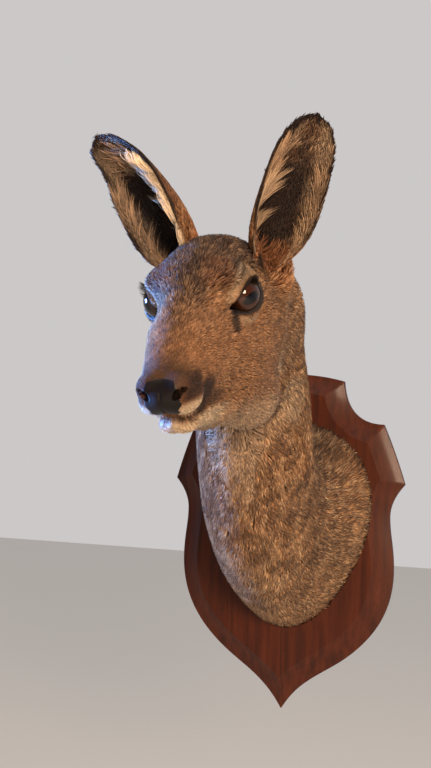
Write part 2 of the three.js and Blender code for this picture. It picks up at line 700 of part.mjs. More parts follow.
// ---------------------------------------------------------------- assembly
function build() {
  const pocket = onWall(roundedPlate(HANGER.width, HANGER.height, HANGER.pocket + 1, 5), -1, HANGER.z);
  let shield = shieldSolid().subtract(solidOf(pocket));
  for (const z of SCREW.at) shield = shield.subtract(screwRecess(z));

  const whole = bodySolid();
  const clear = bodySolid(GAP);

  const middle = NECK[Math.round(NECK_CUT * (NECK.length - 1))];
  const [upper, neckLower] = part(whole, middle.at, middle.tangent);
  const fold = rad(THROAT.turn * HEAD_CUT);
  const hinge = headPoint(0, THROAT.u, THROAT.w);
  let [head, neckUpper] = part(upper, hinge, headWay(0, Math.cos(fold), Math.sin(fold)));

  const eyes = [1, -1].map((sign) => {
    head = head.subtract(eyeBall(sign, GAP)).subtract(lidOpening(sign));
    return eyeBall(sign, 0);
  });
  const lowerJaw = head.intersect(jawPrism(-GAP / 2));
  head = head.subtract(jawPrism(GAP / 2));
  const [front, cranium] = part(head, headPoint(0, MUZZLE_CUT, 0), headWay(0, 1, 0));
  const lean = rad(NOSE_CUT.lean);
  const padWay = headWay(0, Math.cos(lean), Math.sin(lean));
  const [nose, muzzle] = part(front, headPoint(0, NOSE_CUT.u, NOSE_CUT.w), padWay);
  const ears = [earSolid(EARS.left, 1), earSolid(EARS.right, -1)].map((ear) => ear.subtract(clear));

  const group = new THREE.Group();
  const add = (name, solid, colour, roughness, metalness = 0) => {
    const material = new THREE.MeshStandardMaterial({ color: colour, roughness, metalness });
    const piece = new THREE.Mesh(geometryOf(solid), material);
    piece.name = name;
    group.add(piece);
  };
  add("shield_board", shield, COLOURS.wood, 0.35);
  add("hanger", hangerSolid(), COLOURS.brass, 0.3, 1);
  add("screw_upper", screwSolid(SCREW.at[0]), COLOURS.brass, 0.35, 1);
  add("screw_lower", screwSolid(SCREW.at[1]), COLOURS.brass, 0.35, 1);
  add("neck_lower", neckLower, COLOURS.coat, 0.9);
  add("neck_upper", neckUpper, COLOURS.coat, 0.9);
  add("head", cranium, COLOURS.face, 0.9);
  add("muzzle", muzzle, COLOURS.face, 0.85);
  add("lower_jaw", lowerJaw, COLOURS.cream, 0.85);
  add("nose_pad", nose, COLOURS.nose, 0.35);
  add("ear_left", ears[0], COLOURS.coat, 0.9);
  add("ear_right", ears[1], COLOURS.coat, 0.9);
  add("eye_left", eyes[0], COLOURS.eye, 0.05);
  add("eye_right", eyes[1], COLOURS.eye, 0.05);
  return group;
}

export default build();
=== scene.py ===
"""Roe deer shoulder mount: one skin with its coat, ears and glass eyes, on a varnished shield.

Lengths in the classes are millimetres in the part's own frame: +Z is up, the wall is the plane
y = 0, the mount stands out towards -Y and +X is the deer's left. Meshes are made in metres.
"""

import logging
import math
from collections.abc import Callable
from dataclasses import dataclass, field, replace
from enum import IntEnum

import bpy
import numpy as np
from mathutils import Matrix
from mathutils.geometry import tessellate_polygon


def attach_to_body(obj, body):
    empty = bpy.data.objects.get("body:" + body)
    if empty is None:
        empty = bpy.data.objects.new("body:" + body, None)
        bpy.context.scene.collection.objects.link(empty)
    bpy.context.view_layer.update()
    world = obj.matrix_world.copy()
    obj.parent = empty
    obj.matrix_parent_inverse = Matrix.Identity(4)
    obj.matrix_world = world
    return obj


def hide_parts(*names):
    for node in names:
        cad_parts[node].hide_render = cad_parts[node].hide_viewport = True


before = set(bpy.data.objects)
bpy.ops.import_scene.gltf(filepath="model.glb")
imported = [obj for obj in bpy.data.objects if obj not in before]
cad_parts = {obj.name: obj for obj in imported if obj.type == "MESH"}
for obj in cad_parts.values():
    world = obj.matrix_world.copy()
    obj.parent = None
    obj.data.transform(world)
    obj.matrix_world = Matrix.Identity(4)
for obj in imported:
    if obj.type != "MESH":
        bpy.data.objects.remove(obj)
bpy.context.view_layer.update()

Array = np.ndarray
Field = Callable[[Array], Array]
MM = 0.001  # metres
TINY = 1e-9
BAKE_MAP = "OFBake"
log = logging.getLogger("roe_deer_mount")


# ---------------------------------------------------------------- arithmetic
def unit(v: Array) -> Array:
    """Vectors scaled to length one."""
    return v / np.maximum(np.linalg.norm(v, axis=-1, keepdims=True), TINY)


def dot(a: Array, b: Array) -> Array:
    """Scalar products of two sets of vectors, kept as a last axis of one."""
    return np.sum(a * b, axis=-1, keepdims=True)


def mix(a: Array, b: Array, share: Array) -> Array:
    """A value between a, at share 0, and b, at share 1."""
    return a + (b - a) * share


def ramp(low: float, high: float, value: Array) -> Array:
    """A smooth step from 0 at low to 1 at high, which may be the smaller."""
    t = np.clip((value - low) / (high - low), 0, 1)
    return t * t * (3 - 2 * t)


def bell(value: Array, width: float) -> Array:
    """A rounded bump of height one that falls off over a width."""
    return np.exp(-((value / width) ** 2))


def signed(angle: Array) -> Array:
    """An angle brought to within half a turn of zero."""
    return (angle + math.pi) % (2 * math.pi) - math.pi


def mirrored(local: Array) -> Array:
    """Points in the head's axes, those on its right carried over to its left."""
    return np.concatenate([np.abs(local[..., :1]), local[..., 1:]], axis=-1)


def cell_mean(values: Array) -> Array:
    """The mean of a grid's values over the corners of each of its cells."""
    return (values[:-1, :-1] + values[1:, :-1] + values[:-1, 1:] + values[1:, 1:]) / 4


def smooth_union(a: Array, b: Array, k: float) -> Array:
    """The union of two fields with a fillet of about size k."""
    h = np.clip(0.5 + 0.5 * (b - a) / k, 0, 1)
    return b + (a - b) * h - k * h * (1 - h)


def scatter(cells: Array, seed: float) -> Array:
    """A number between 0 and 1 for each whole-number cell, the same on every run."""
    weights = np.array([127.1, 311.7, 74.7])[: cells.shape[-1]]
    mixed = np.sin(cells @ weights + seed * 17.3) * 43758.5453
    return mixed - np.floor(mixed)


def mottle(points: Array, size: float, seed: float) -> Array:
    """Smooth patches of about one size.

    Args:
        points: places in millimetres.
        size: the patches' size in millimetres.
        seed: picks the pattern.

    Returns:
        A value between 0 and 1 at each place.
    """
    scaled = points / size
    cell = np.floor(scaled)
    t = scaled - cell
    t = t * t * (3 - 2 * t)
    total = np.zeros(points.shape[:-1])
    for corner in np.ndindex(*(2,) * points.shape[-1]):
        step = np.array(corner)
        weight = np.prod(np.where(step == 1, t, 1 - t), axis=-1)
        total += weight * scatter(cell + step, seed)
    return total


def segment_distance(points: Array, start: Array, end: Array) -> Array:
    """Distance from each point to a straight segment.

    Args:
        points: places.
        start: one end of the segment.
        end: its other end.

    Returns:
        The distances.
    """
    way = end - start
    share = np.clip((points - start) @ way / (way @ way), 0, 1)
    return np.linalg.norm(points - start - share[..., None] * way, axis=-1)


@dataclass(frozen=True)
class Stations:
    """Named sizes at a few places along a line, read between them by a cubic."""

    names: tuple[str, ...]
    rows: tuple[tuple[float, ...], ...]

    def read(self, place: Array) -> dict[str, Array]:
        """Reads every size at once.

        Args:
            place: positions along the line.

        Returns:
            Each named size at each position, held constant past the ends.
        """
        table = np.array(self.rows)
        at, values = table[:, 0], table[:, 1:]
        slopes = np.diff(values, axis=0) / np.diff(at)[:, None]
        tangents = np.vstack([slopes[:1], (slopes[1:] + slopes[:-1]) / 2, slopes[-1:]])
        i = np.clip(np.searchsorted(at, place) - 1, 0, len(at) - 2)
        gap = (at[i + 1] - at[i])[..., None]
        t = np.clip((place - at[i])[..., None] / gap, 0, 1)
        t2 = t * t
        t3 = t2 * t
        found = values[i] * (2 * t3 - 3 * t2 + 1) + tangents[i] * gap * (t3 - 2 * t2 + t)
        found += values[i + 1] * (3 * t2 - 2 * t3) + tangents[i + 1] * gap * (t3 - t2)
        return {name: found[..., k] for k, name in enumerate(self.names)}


def first_crossing(
    inside: Field, origin: Array, way: Array, low: Array, high: Array, samples: int
) -> Array:
    """Marches along rays to where a field first turns positive.

    Args:
        inside: the field, negative inside the body.
        origin: the rays' starts.
        way: the rays' directions.
        low: where the march starts on each ray.
        high: where it ends.
        samples: how many steps it takes.

    Returns:
        The distance along each ray.
    """
    near, far = low.copy(), high.copy()
    found = np.zeros(low.shape, bool)
    for share in np.linspace(0, 1, samples + 1)[1:]:
        r = mix(low, high, share)
        out = inside(origin + way * r[..., None]) > 0
        far = np.where(out & ~found, r, far)
        found |= out
        near = np.where(found, near, r)
    for _ in range(8):
        r = (near + far) / 2
        out = inside(origin + way * r[..., None]) > 0
        far = np.where(out, r, far)
        near = np.where(out, near, r)
    return (near + far) / 2


# ---------------------------------------------------------------- the outer outline
@dataclass(frozen=True)
class HeadFrame:
    """The head's own axes: x to the deer's left, u forward along the jaw, w up."""

    at: tuple[float, float, float] = (37.0, -366.0, 207.5)
    yaw: float = 6.8
    pitch: float = 32.0
    roll: float = 2.2

    def axes(self) -> Array:
        """The directions of x, u and w as three rows."""
        yaw, pitch, roll = (math.radians(v) for v in (self.yaw, self.pitch, self.roll))
        side = np.array([math.cos(yaw), math.sin(yaw), 0])
        level = np.array([math.sin(yaw), -math.cos(yaw), 0])
        ahead = level * math.cos(pitch) - np.array([0, 0, math.sin(pitch)])
        up = np.cross(ahead, side)
        x = side * math.cos(roll) + up * math.sin(roll)
        w = up * math.cos(roll) - side * math.sin(roll)
        return np.array([x, ahead, w])

    def way(self, x: float, u: float, w: float) -> Array:
        """A direction given in the head's axes."""
        return unit(np.array([x, u, w]) @ self.axes())

    def place(self, x: float, u: float, w: float) -> Array:
        """A point given in the head's axes."""
        return np.array(self.at) + np.array([x, u, w]) @ self.axes()

    def local(self, points: Array) -> Array:
        """Points as x, u and w."""
        return (points - self.at) @ self.axes().T


@dataclass(frozen=True)
class Mass:
    """A rounded mass or hollow, on both sides of the head or one: centre and half axes as x, u, w."""

    at: tuple[float, float, float]
    size: tuple[float, float, float]
    blend: float
    one_sided: bool = False

    def distance(self, local: Array) -> Array:
        """Roughly how far outside the ellipsoid each point lies."""
        both = local if self.one_sided else mirrored(local)
        k = np.linalg.norm((both - self.at) / self.size, axis=-1)
        return (k - 1) * min(self.size)


@dataclass(frozen=True)
class Loft:
    """A stretch of the head: a rounded section along u, with a rounded cap at each end."""

    stations: Stations
    front: tuple[float, float]
    back: tuple[float, float]
    power: float
    least_close: float = 0.02

    @staticmethod
    def rounded(u: Array, cap: tuple[float, float]) -> Array:
        """How much of the section is left within a cap."""
        share = (u - cap[0]) / (cap[1] - cap[0])
        return np.where(share > 0, np.sqrt(np.clip(1 - share * share, 0, 1)), 1)

    def distance(self, local: Array) -> Array:
        """Roughly how far outside the loft each point lies.

        Args:
            local: points as x, u and w.

        Returns:
            Millimetres, negative inside.
        """
        x, u, w = local[..., 0], local[..., 1], local[..., 2]
        size = self.stations.read(u)
        aside = np.abs(x - size["off"])
        close = np.minimum(self.rounded(u, self.front), self.rounded(u, self.back))
        close = np.maximum(close, self.least_close)
        rise = np.where(w > size["mid"], size["top"] - size["mid"], size["mid"] - size["low"]) * close
        across = (aside / (size["half"] * close)) ** self.power
        norm = (across + (np.abs(w - size["mid"]) / rise) ** self.power) ** (1 / self.power)
        past = np.maximum(np.maximum(u - self.front[1], self.back[1] - u), 0)
        return (norm - 1) * np.minimum(size["half"], rise) + past


SECTION = ("half", "top", "mid", "low", "off")
UPPER_HEAD = Loft(
    Stations(
        SECTION,
        (
            (-88, 30, 10, -18, -58, 6),  # occiput
            (-62, 37.5, 32, -12, -70, 8),  # poll
            (-35, 40, 43, -9, -72, 6),  # crown
            (-8, 39, 42, -10, -68, 2),  # brow
            (15, 36, 35, -14, -62, 0),
            (40, 30.5, 23.5, -19, -56, 0),
            (65, 25, 10.5, -23, -49, 0),
            (88, 21, -3, -26, -43, 0),  # muzzle
            (104, 18, -12.5, -28, -42, 0),
        ),
    ),
    front=(96, 117),
    back=(-70, -92),
    power=2.35,
)
LOWER_JAW = Loft(
    Stations(
        SECTION,
        (
            (-55, 31, -40, -74, -103, 0),  # angle of the jaw
            (-25, 33, -40, -75, -110, 0),
            (10, 31, -40, -71, -103, 0),
            (40, 25, -38, -62, -88, 0),
            (65, 19, -38, -54, -75, 0),
            (86, 15.5, -40, -50, -63.5, 0),  # chin
        ),
    ),
    front=(84, 101),
    back=(-30, -55),
    power=2.2,
)
JAW_BLEND = 10
SWELLINGS = {
    "masseter": Mass((26, -16, -54), (19, 44, 42), 16),
    "orbit": Mass((31, -8, 3), (16, 20, 18), 8),
    "brow": Mass((26, 1, 19), (12, 17, 10), 9),
    "ear_root": Mass((49, -69, -2), (16, 14, 22), 10, one_sided=True),
    "nape_side": Mass((38, -116, -45), (20, 27, 32), 12, one_sided=True),
    "throat_ruff": Mass((20, -36, -98), (25, 40, 25), 16),
    "lip_pad": Mass((10.5, 97, -34), (11, 15, 9.5), 6),
    "nostril_wing": Mass((11, 104, -22), (8.5, 10, 9), 5),
    "chin_pad": Mass((4.5, 90, -54), (11, 11, 9.5), 5),
}
HOLLOWS = (
    Mass((40, 24, 1), (13.5, 19, 13), 8),  # before the eye
    Mass((33, 45, 14), (16.5, 21, 13), 9),  # along the side of the bridge
)
NECK = Stations(
    ("half", "rise"),
    (
        (0, 101, 121),
        (0.06, 89, 107),
        (0.18, 70, 88),
        (0.34, 61, 78),
        (0.52, 58, 71),
        (0.7, 55, 62),
        (0.86, 52, 52),
        (1, 48, 46),
    ),
)


@dataclass
class Outline:
    """The animal's outer outline, to the tips of its coat, as a field: negative inside."""

    head: HeadFrame = field(default_factory=HeadFrame)
    throat: tuple[float, float] = (-57, -102)  # the hinge that the upper neck bends about, u and w
    reach: float = 61
    turn: float = 84
    base: tuple[float, float, float] = (4, -20.3, 19)
    pull_base: float = 118
    pull_aside: float = -9
    pull_top: float = 80
    samples: int = 96
    egg: float = 0.25  # how much the section narrows towards the brisket
    join: float = 27
    line: Array = field(init=False)
    tangent: Array = field(init=False)
    across: Array = field(init=False)
    up: Array = field(init=False)

    def __post_init__(self) -> None:
        """Lays the neck's centre line with a frame at each sample."""
        self.line = self.centre_line()
        ends = np.vstack([self.line[:1], self.line, self.line[-1:]])
        self.tangent = unit(ends[2:] - ends[:-2])
        self.tangent[0] = (0, -1, 0)
        share = np.linspace(0, 1, self.samples + 1)[:, None]
        across = mix(np.array([1.0, 0, 0]), self.head.way(1, 0, 0), share)
        self.across = unit(across - dot(across, self.tangent) * self.tangent)
        self.up = np.cross(self.tangent, self.across)

    def arc(self, angle: Array) -> Array:
        """Points of the upper neck's arc about the throat, given as x, u and w."""
        u = self.throat[0] - self.reach * np.sin(angle)
        w = self.throat[1] + self.reach * np.cos(angle)
        return np.stack([np.zeros_like(u), u, w], axis=-1)

    def centre_line(self) -> Array:
        """The neck's centre line from the shield to the head, in equal steps.

        Returns:
            One point a row.
        """
        turn = math.radians(self.turn)
        top = self.head.place(*self.arc(np.array(turn)))
        down = self.head.way(0, -math.cos(turn), -math.sin(turn))
        base = np.array(self.base)
        controls = [base, base + (self.pull_aside, -self.pull_base, 0), top + down * self.pull_top, top]
        t = np.linspace(0, 1, 2001)[:, None]
        weights = [(1 - t) ** 3, 3 * t * (1 - t) ** 2, 3 * t * t * (1 - t), t**3]
        curve = sum(weight * point for weight, point in zip(weights, controls))
        bend = self.arc(np.linspace(turn, 0, 400)[1:])
        whole = np.vstack([curve, [self.head.place(*p) for p in bend]])
        run = np.concatenate([[0], np.cumsum(np.linalg.norm(np.diff(whole, axis=0), axis=1))])
        even = np.linspace(0, run[-1], self.samples + 1)
        return np.stack([np.interp(even, run, whole[:, k]) for k in range(3)], axis=1)

    def head_distance(self, points: Array) -> Array:
        """The field of the head alone.

        Args:
            points: places in the part's frame.

        Returns:
            Roughly millimetres outside it.
        """
        local = self.head.local(points)
        d = smooth_union(UPPER_HEAD.distance(local), LOWER_JAW.distance(local), JAW_BLEND)
        for mass in SWELLINGS.values():
            d = smooth_union(d, mass.distance(local), mass.blend)
        for hollow in HOLLOWS:
            d = -smooth_union(-d, hollow.distance(local), hollow.blend)
        return d

    def neck_distance(self, points: Array) -> Array:
        """The field of the neck alone.

        Args:
            points: places in the part's frame.

        Returns:
            Roughly millimetres outside it.
        """
        square = np.sum(self.line**2, axis=1)
        best = np.argmin(square - 2 * points @ self.line.T, axis=-1)
        off = points - self.line[best]
        step = np.linalg.norm(self.line[1] - self.line[0])
        ahead = np.sum(off * self.tangent[best], axis=-1)
        t = np.clip((best + ahead / step) / self.samples, 0, 1)
        size = NECK.read(t)
        v = np.sum(off * self.up[best], axis=-1) / size["rise"]
        egg = 1 + self.egg * (1 - t) * np.clip(v, -1, 1)
        past = np.where(best == self.samples, np.maximum(ahead, 0) / size["half"], 0)
        h = np.sum(off * self.across[best], axis=-1) / (size["half"] * egg)
        norm = np.sqrt(h * h + v * v + past * past)
        return (norm - 1) * np.minimum(size["half"], size["rise"])

    def distance(self, points: Array) -> Array:
        """The whole outline's field, worked out in batches to spare memory.

        Args:
            points: places in the part's frame, in any grid.

        Returns:
            Roughly millimetres outside the outline, in the same grid.
        """
        flat = points.reshape(-1, 3)
        found = np.empty(len(flat))
        batch = 1 << 16
        for start in range(0, len(flat), batch):
            part = flat[start : start + batch]
            found[start : start + batch] = smooth_union(
                self.head_distance(part), self.neck_distance(part), self.join
            )
        return found.reshape(points.shape[:-1])


# ---------------------------------------------------------------- places on the head
@dataclass(frozen=True)
class EyeSocket:
    """One eye: its ball and the opening between its lids, in axes along, up and out of the eye."""

    head: HeadFrame
    sign: int  # 1 for the deer's left eye, -1 for its right
    at: tuple[float, float, float] = (32.3, -6.3, 0.4)
    radius: float = 14.5
    out: float = 58
    up: float = 5
    slant: float = 20
    opening: tuple[float, float] = (13.4, 10.2)
    lean: float = 0.22  # how far the opening's top leans towards its back corner
    canthus: tuple[float, float] = (7.5, 0.34)  # how far the front corner is drawn out, and its breadth
    fullness: float = 0.1  # how much more pointed than an oval the opening is

    def axes(self) -> Array:
        """The eye's axes: towards its front corner, up across the lids, and outwards.

        Returns:
            Three unit vectors as rows.
        """
        out, up, slant = (math.radians(v) for v in (self.out, self.up, self.slant))
        level = math.cos(up)
        way = self.head.way(self.sign * math.sin(out) * level, math.cos(out) * level, math.sin(up))
        along = self.head.way(
            -self.sign * math.cos(out) * math.cos(slant),
            math.sin(out) * math.cos(slant),
            -math.sin(slant),
        )
        along = unit(along - (along @ way) * way)
        return np.array([along, self.sign * np.cross(along, way), way])

    def centre(self) -> Array:
        """The middle of the ball."""
        return self.head.place(self.sign * self.at[0], self.at[1], self.at[2])

    def plane(self, points: Array) -> Array:
        """Points in the eye's own axes."""
        return (points - self.centre()) @ self.axes().T

    def rim(self, angle: Array) -> Array:
        """The edge of the opening: an almond with a drawn-out front corner.

        Args:
            angle: 0 at the front corner, a quarter turn at the top.

        Returns:
            Places in the eye's plane.
        """
        lift = np.sin(angle)
        a = self.opening[0] * np.cos(angle) + self.canthus[0] * bell(signed(angle), self.canthus[1])
        b = self.opening[1] * lift * np.abs(lift) ** self.fullness
        return np.stack([a - self.lean * b, b], axis=-1)

    def beside(self, points: Array) -> Array:
        """How far outside the opening each point lies, as seen along the eye's axis.

        Args:
            points: places in the part's frame.

        Returns:
            Millimetres, large for points behind the eye.
        """
        seen = self.plane(points)
        rim = np.linalg.norm(self.rim(np.arctan2(seen[..., 1], seen[..., 0])), axis=-1)
        distance = np.linalg.norm(seen[..., :2], axis=-1) - rim
        return np.where(seen[..., 2] > -self.radius + 0.5, distance, 60)


@dataclass(frozen=True)
class Face:
    """Where the mouth, nostrils and tear streaks run, in head axes."""

    mouth_u: tuple[float, ...] = (-75, -50, -20, 20, 60, 84, 98, 112, 130)
    mouth_w: tuple[float, ...] = (-128, -105, -84, -70, -58, -51.5, -48.5, -46.5, -45)
    mouth_corner: float = 68
    nostril: tuple[float, float, float] = (11.6, 109.5, -24)
    nostril_size: tuple[float, float, float] = (5.6, 9, 2.7)  # its half axes along the slit, u and across
    nostril_slope: tuple[float, float] = (0.82, 0.57)  # cosine and sine of the slit's slope
    nostril_curl: float = 0.09  # how much the slit bends towards its ends
    lip_depth: float = 2.6
    nostril_depth: float = 8.5
    philtrum_depth: float = 1.5
    streak: tuple[tuple[float, float], ...] = ((9, -5), (25, -15))  # u and w of its ends
    pad_w: tuple[float, ...] = (-48, -45, -41, -36, -31, -26, -21, -17, -13)
    pad_half: tuple[float, ...] = (5, 7, 8.5, 10.5, 12.5, 13.5, 12.5, 10, 7)
    pad_wave: float = 0.7  # how far its edge strays
    pad_back: float = 102.5  # u of its back edge
    pad_span: tuple[float, float] = (-48, -15)  # w of its lower and upper edges

    def mouth(self, local: Array) -> Array:
        """Height above the line of the mouth."""
        return local[..., 2] - np.interp(local[..., 1], self.mouth_u, self.mouth_w)

    def nose(self, local: Array) -> Array:
        """The bare nose leather: 1 on it and 0 off it.

        Args:
            local: points as x, u and w.

        Returns:
            The share of leather.
        """
        x, u, w = np.abs(local[..., 0]), local[..., 1], local[..., 2]
        half = np.interp(w, self.pad_w, self.pad_half) + self.pad_wave * np.sin(0.9 * w + 0.6 * u)
        back = u - (self.pad_back - 0.13 * (w + 20))
        low, high = self.pad_span
        edge = np.minimum(np.minimum(half - x, back), np.minimum(w - low, high - w))
        return np.maximum(ramp(-0.7, 0.9, edge), ramp(0.02, 0.12, self.slit(local)))

    def slit(self, local: Array) -> Array:
        """How near each point is to a nostril's opening: 1 in its middle and 0 outside."""
        off = mirrored(local) - self.nostril
        level, slope = self.nostril_slope
        turned = off[..., 0] * level + off[..., 2] * slope
        rise = off[..., 2] * level - off[..., 0] * slope
        tail = self.nostril_curl * np.clip(turned, -9, 9) ** 2
        spread = np.stack([turned, off[..., 1], rise + tail - 1], axis=-1) / self.nostril_size
        return np.clip(1 - np.linalg.norm(spread, axis=-1), 0, 1)

    def carve(self, local: Array) -> Array:
        """How deep the skin is drawn in below its even surface.

        Args:
            local: points as x, u and w.

        Returns:
            Millimetres.
        """
        u = local[..., 1]
        side = np.abs(local[..., 0])
        opened = ramp(self.mouth_corner - 3, self.mouth_corner + 9, u)
        lips = self.lip_depth * bell(self.mouth(local), 1.25) * opened
        nostrils = self.nostril_depth * ramp(0, 0.5, self.slit(local))
        middle = ramp(103, 108, u) * ramp(-45, -41, local[..., 2]) * ramp(-20, -25, local[..., 2])
        philtrum = self.philtrum_depth * bell(side, 0.8) * middle
        return lips + nostrils + philtrum


@dataclass(frozen=True)
class CoatRule:
    """How the coat changes from the shield, at 0, by the throat, at 1 to 2, to the nose, at 4."""

    table: Stations = Stations(
        ("depth", "length", "width", "spacing", "grizzle"),
        (
            (0, 10.5, 21, 1.72, 2.83, 1.0),
            (0.12, 9.0, 18, 1.61, 2.48, 1.0),
            (0.5, 7.0, 13.5, 1.4, 2.12, 1.0),
            (1.0, 6.5, 12, 1.29, 2.0, 1.0),
            (1.7, 5.4, 10, 1.24, 1.95, 0.8),
            (2.0, 4.3, 8.5, 1.13, 1.77, 0.6),
            (2.35, 3.4, 7.0, 1.02, 1.42, 0.5),
            (2.7, 2.3, 5.0, 0.91, 1.12, 0.45),
            (2.95, 1.5, 3.2, 0.7, 0.88, 0.35),
            (3.3, 0.9, 1.8, 0.54, 0.71, 0.2),
            (4, 0.7, 1.4, 0.48, 0.65, 0.1),
        ),
    )

    def read(self, station: Array) -> Array:
        """The coat's depth, length, width, spacing and grizzle as a last axis."""
        found = self.table.read(station)
        return np.stack([found[name] for name in self.table.names], axis=-1)


class Sized(IntEnum):
    """Columns of a coat array."""

    DEPTH = 0
    LENGTH = 1
    WIDTH = 2
    SPACING = 3
    GRIZZLE = 4


PATCHES = {  # each marking's middle and half axes in the head's axes, millimetres
    "lip": ((15.5, 103, -39), (9.5, 18, 9)),
    "collar": ((39, -90, -127), (17, 30, 24)),
    "gorget": ((8, -68, -141), (34, 26, 18)),
    "muzzle_side": ((18.5, 82, -41), (13, 22, 15)),
    # painted shade in the crease at the mouth's corner
    "mouth_corner": ((23, 65, -51), (12, 18, 6)),
    "nostril_wing": ((16, 99, -26), (12, 16, 12)),
    # painted shade at the front of the ear's root, behind the crown
    "behind_crown": ((33, -47, 19.5), (15, 18, 19)),
    "brow": ((21, 18, 27), (12, 20, 13)),
    "ear_root": ((47, -62, 8), (19, 20, 22)),
}


def spot(local: Array, name: str) -> Array:
    """A named marking on both sides of the head, soft at its edge: 1 in its middle, 0 outside."""
    at, size = PATCHES[name]
    return ramp(1.25, 0.6, np.linalg.norm((mirrored(local) - at) / size, axis=-1))


@dataclass(frozen=True)
class Markings:
    """The coat's pattern, as shares of pale, dark, rust and crown-brown hair at any place, with painted shade
    behind the crown, along the mouth and on the nape's side near the shield.
    """

    head: HeadFrame
    face: Face
    eyes: tuple[EyeSocket, EyeSocket]

    def streaks(self, points: Array) -> Array:
        """The dark tear streaks below the front corners of the eyes."""
        local = self.head.local(points)
        first, last = (np.array(end) for end in self.face.streak)
        near = ramp(5.6, 2.2, segment_distance(local[..., 1:], first, last))
        return near * ramp(14, 18, np.abs(local[..., 0])) * 0.9

    def shares(self, points: Array, station: Array, upward: Array) -> Array:
        """The pattern on the head and neck.

        Args:
            points: places on the skin.
            station: how far along the animal each is, as CoatRule has it.
            upward: 1 on the nape's side of the neck, -1 on the throat's.

        Returns:
            Shares of pale, dark, rust and crown as a last axis.
        """
        local = self.head.local(points)
        u, w = local[..., 1], local[..., 2]
        wobble = mottle(points, 9, 3) - 0.5
        broad = mottle(points, 42, 5) - 0.5
        below = -self.face.mouth(local)
        below = below + 5 * wobble * ramp(3, 10, np.abs(below))
        on_head = ramp(1.45, 2.0, station)
        beside = np.minimum(*[eye.beside(points) for eye in self.eyes])

        chin = ramp(-0.5, 1.2, below) * ramp(34, 62, u) * 0.9
        jaw = ramp(-4, 16, below) * ramp(62, 30, u) * on_head * 0.5
        lip = spot(local, "lip") * ramp(-1, 1, -below)
        ring = ramp(11, 5, beside + 6 * wobble) * ramp(1.2, 3.2, beside) * 0.45
        throat = bell(station - 1.75, 0.3) * ramp(-62, -88, w) * 0.6
        collar = spot(local, "collar") * (0.7 + 0.6 * wobble)
        gorget = spot(local, "gorget") * (0.8 + 0.6 * wobble)
        throat = np.maximum.reduce([throat, collar * 0.65, gorget * 0.3])
        bib = ramp(0.55, 0.0, station) * ramp(0.4, -0.5, upward) * 0.12
        pale = np.maximum.reduce([chin, jaw, lip, ring, throat, bib])

        bridge = ramp(84, 100, u) * ramp(-31, -20, w) * 0.75
        patch = spot(local, "muzzle_side")
        # painted shade in the crease at the mouth's corner
        crease = spot(local, "mouth_corner") * 0.75
        wing = spot(local, "nostril_wing") * 0.86
        # painted shade along the groove of the mouth
        lips = bell(self.face.mouth(local), 1.2) * ramp(self.face.mouth_corner - 3, 84, u)
        # painted shade at the front of the ear's root, behind the crown
        behind_crown = spot(local, "behind_crown") * 0.98
        dark = np.maximum.reduce([bridge, patch * 0.88, crease, wing, behind_crown, self.streaks(points)])
        dark = np.maximum(dark * (1 - lip), lips)
        nape = ramp(0.1, 1.0, upward) * ramp(2.2, 1.4, station) * 0.3
        dark = np.maximum(dark, nape * (0.7 + broad))

        brows = spot(local, "brow") * 0.6
        warm = ramp(2.05, 2.3, station) * ramp(12, -8, w) * 0.25
        band = ramp(-30, 10, below) * ramp(40, 5, u) * ramp(1.3, 1.9, station) * 0.55
        rust = np.maximum.reduce([brows, warm, band, patch, wing, gorget * 0.5, spot(local, "ear_root")])

        forehead = ramp(2, 22, w + 14 * wobble) * ramp(84, 36, u + 20 * wobble) * on_head
        stripe = bell(local[..., 0], 11) * ramp(110, 60, u) * ramp(-20, 0, w) * on_head * 0.7
        # crown-brown mottle on the neck, and painted shade on the nape's side near the shield
        mantle_and_nape_shade = 0.12 + 1.2 * broad + 0.45 * upward * ramp(1.2, 0.2, station)
        mantle_and_nape_shade = ramp(1.9, 1.2, station) * np.clip(mantle_and_nape_shade, 0, 0.9)
        crown = np.clip(np.maximum.reduce([forehead, stripe, mantle_and_nape_shade]), 0, 1)
        dark = np.maximum(dark, 0.22 * forehead * (0.9 + 1.2 * wobble) + 0.2 * brows)
        return np.stack([pale * (1 - dark), dark, rust, crown * (1 - 0.7 * pale)], axis=-1)


# ---------------------------------------------------------------- meshes
PER_POINT = ("points", "marks", "hair", "normals")  # the parts of a shell that go by vertex


def attach(mesh: bpy.types.Mesh, name: str, domain: str, values: Array) -> None:
    """Stores values on a mesh for its material: vectors of three or colours of four."""
    kind, key = ("FLOAT_COLOR", "color") if values.shape[-1] == 4 else ("FLOAT_VECTOR", "vector")
    mesh.attributes.new(name, kind, domain).data.foreach_set(key, values.astype(np.float32).ravel())


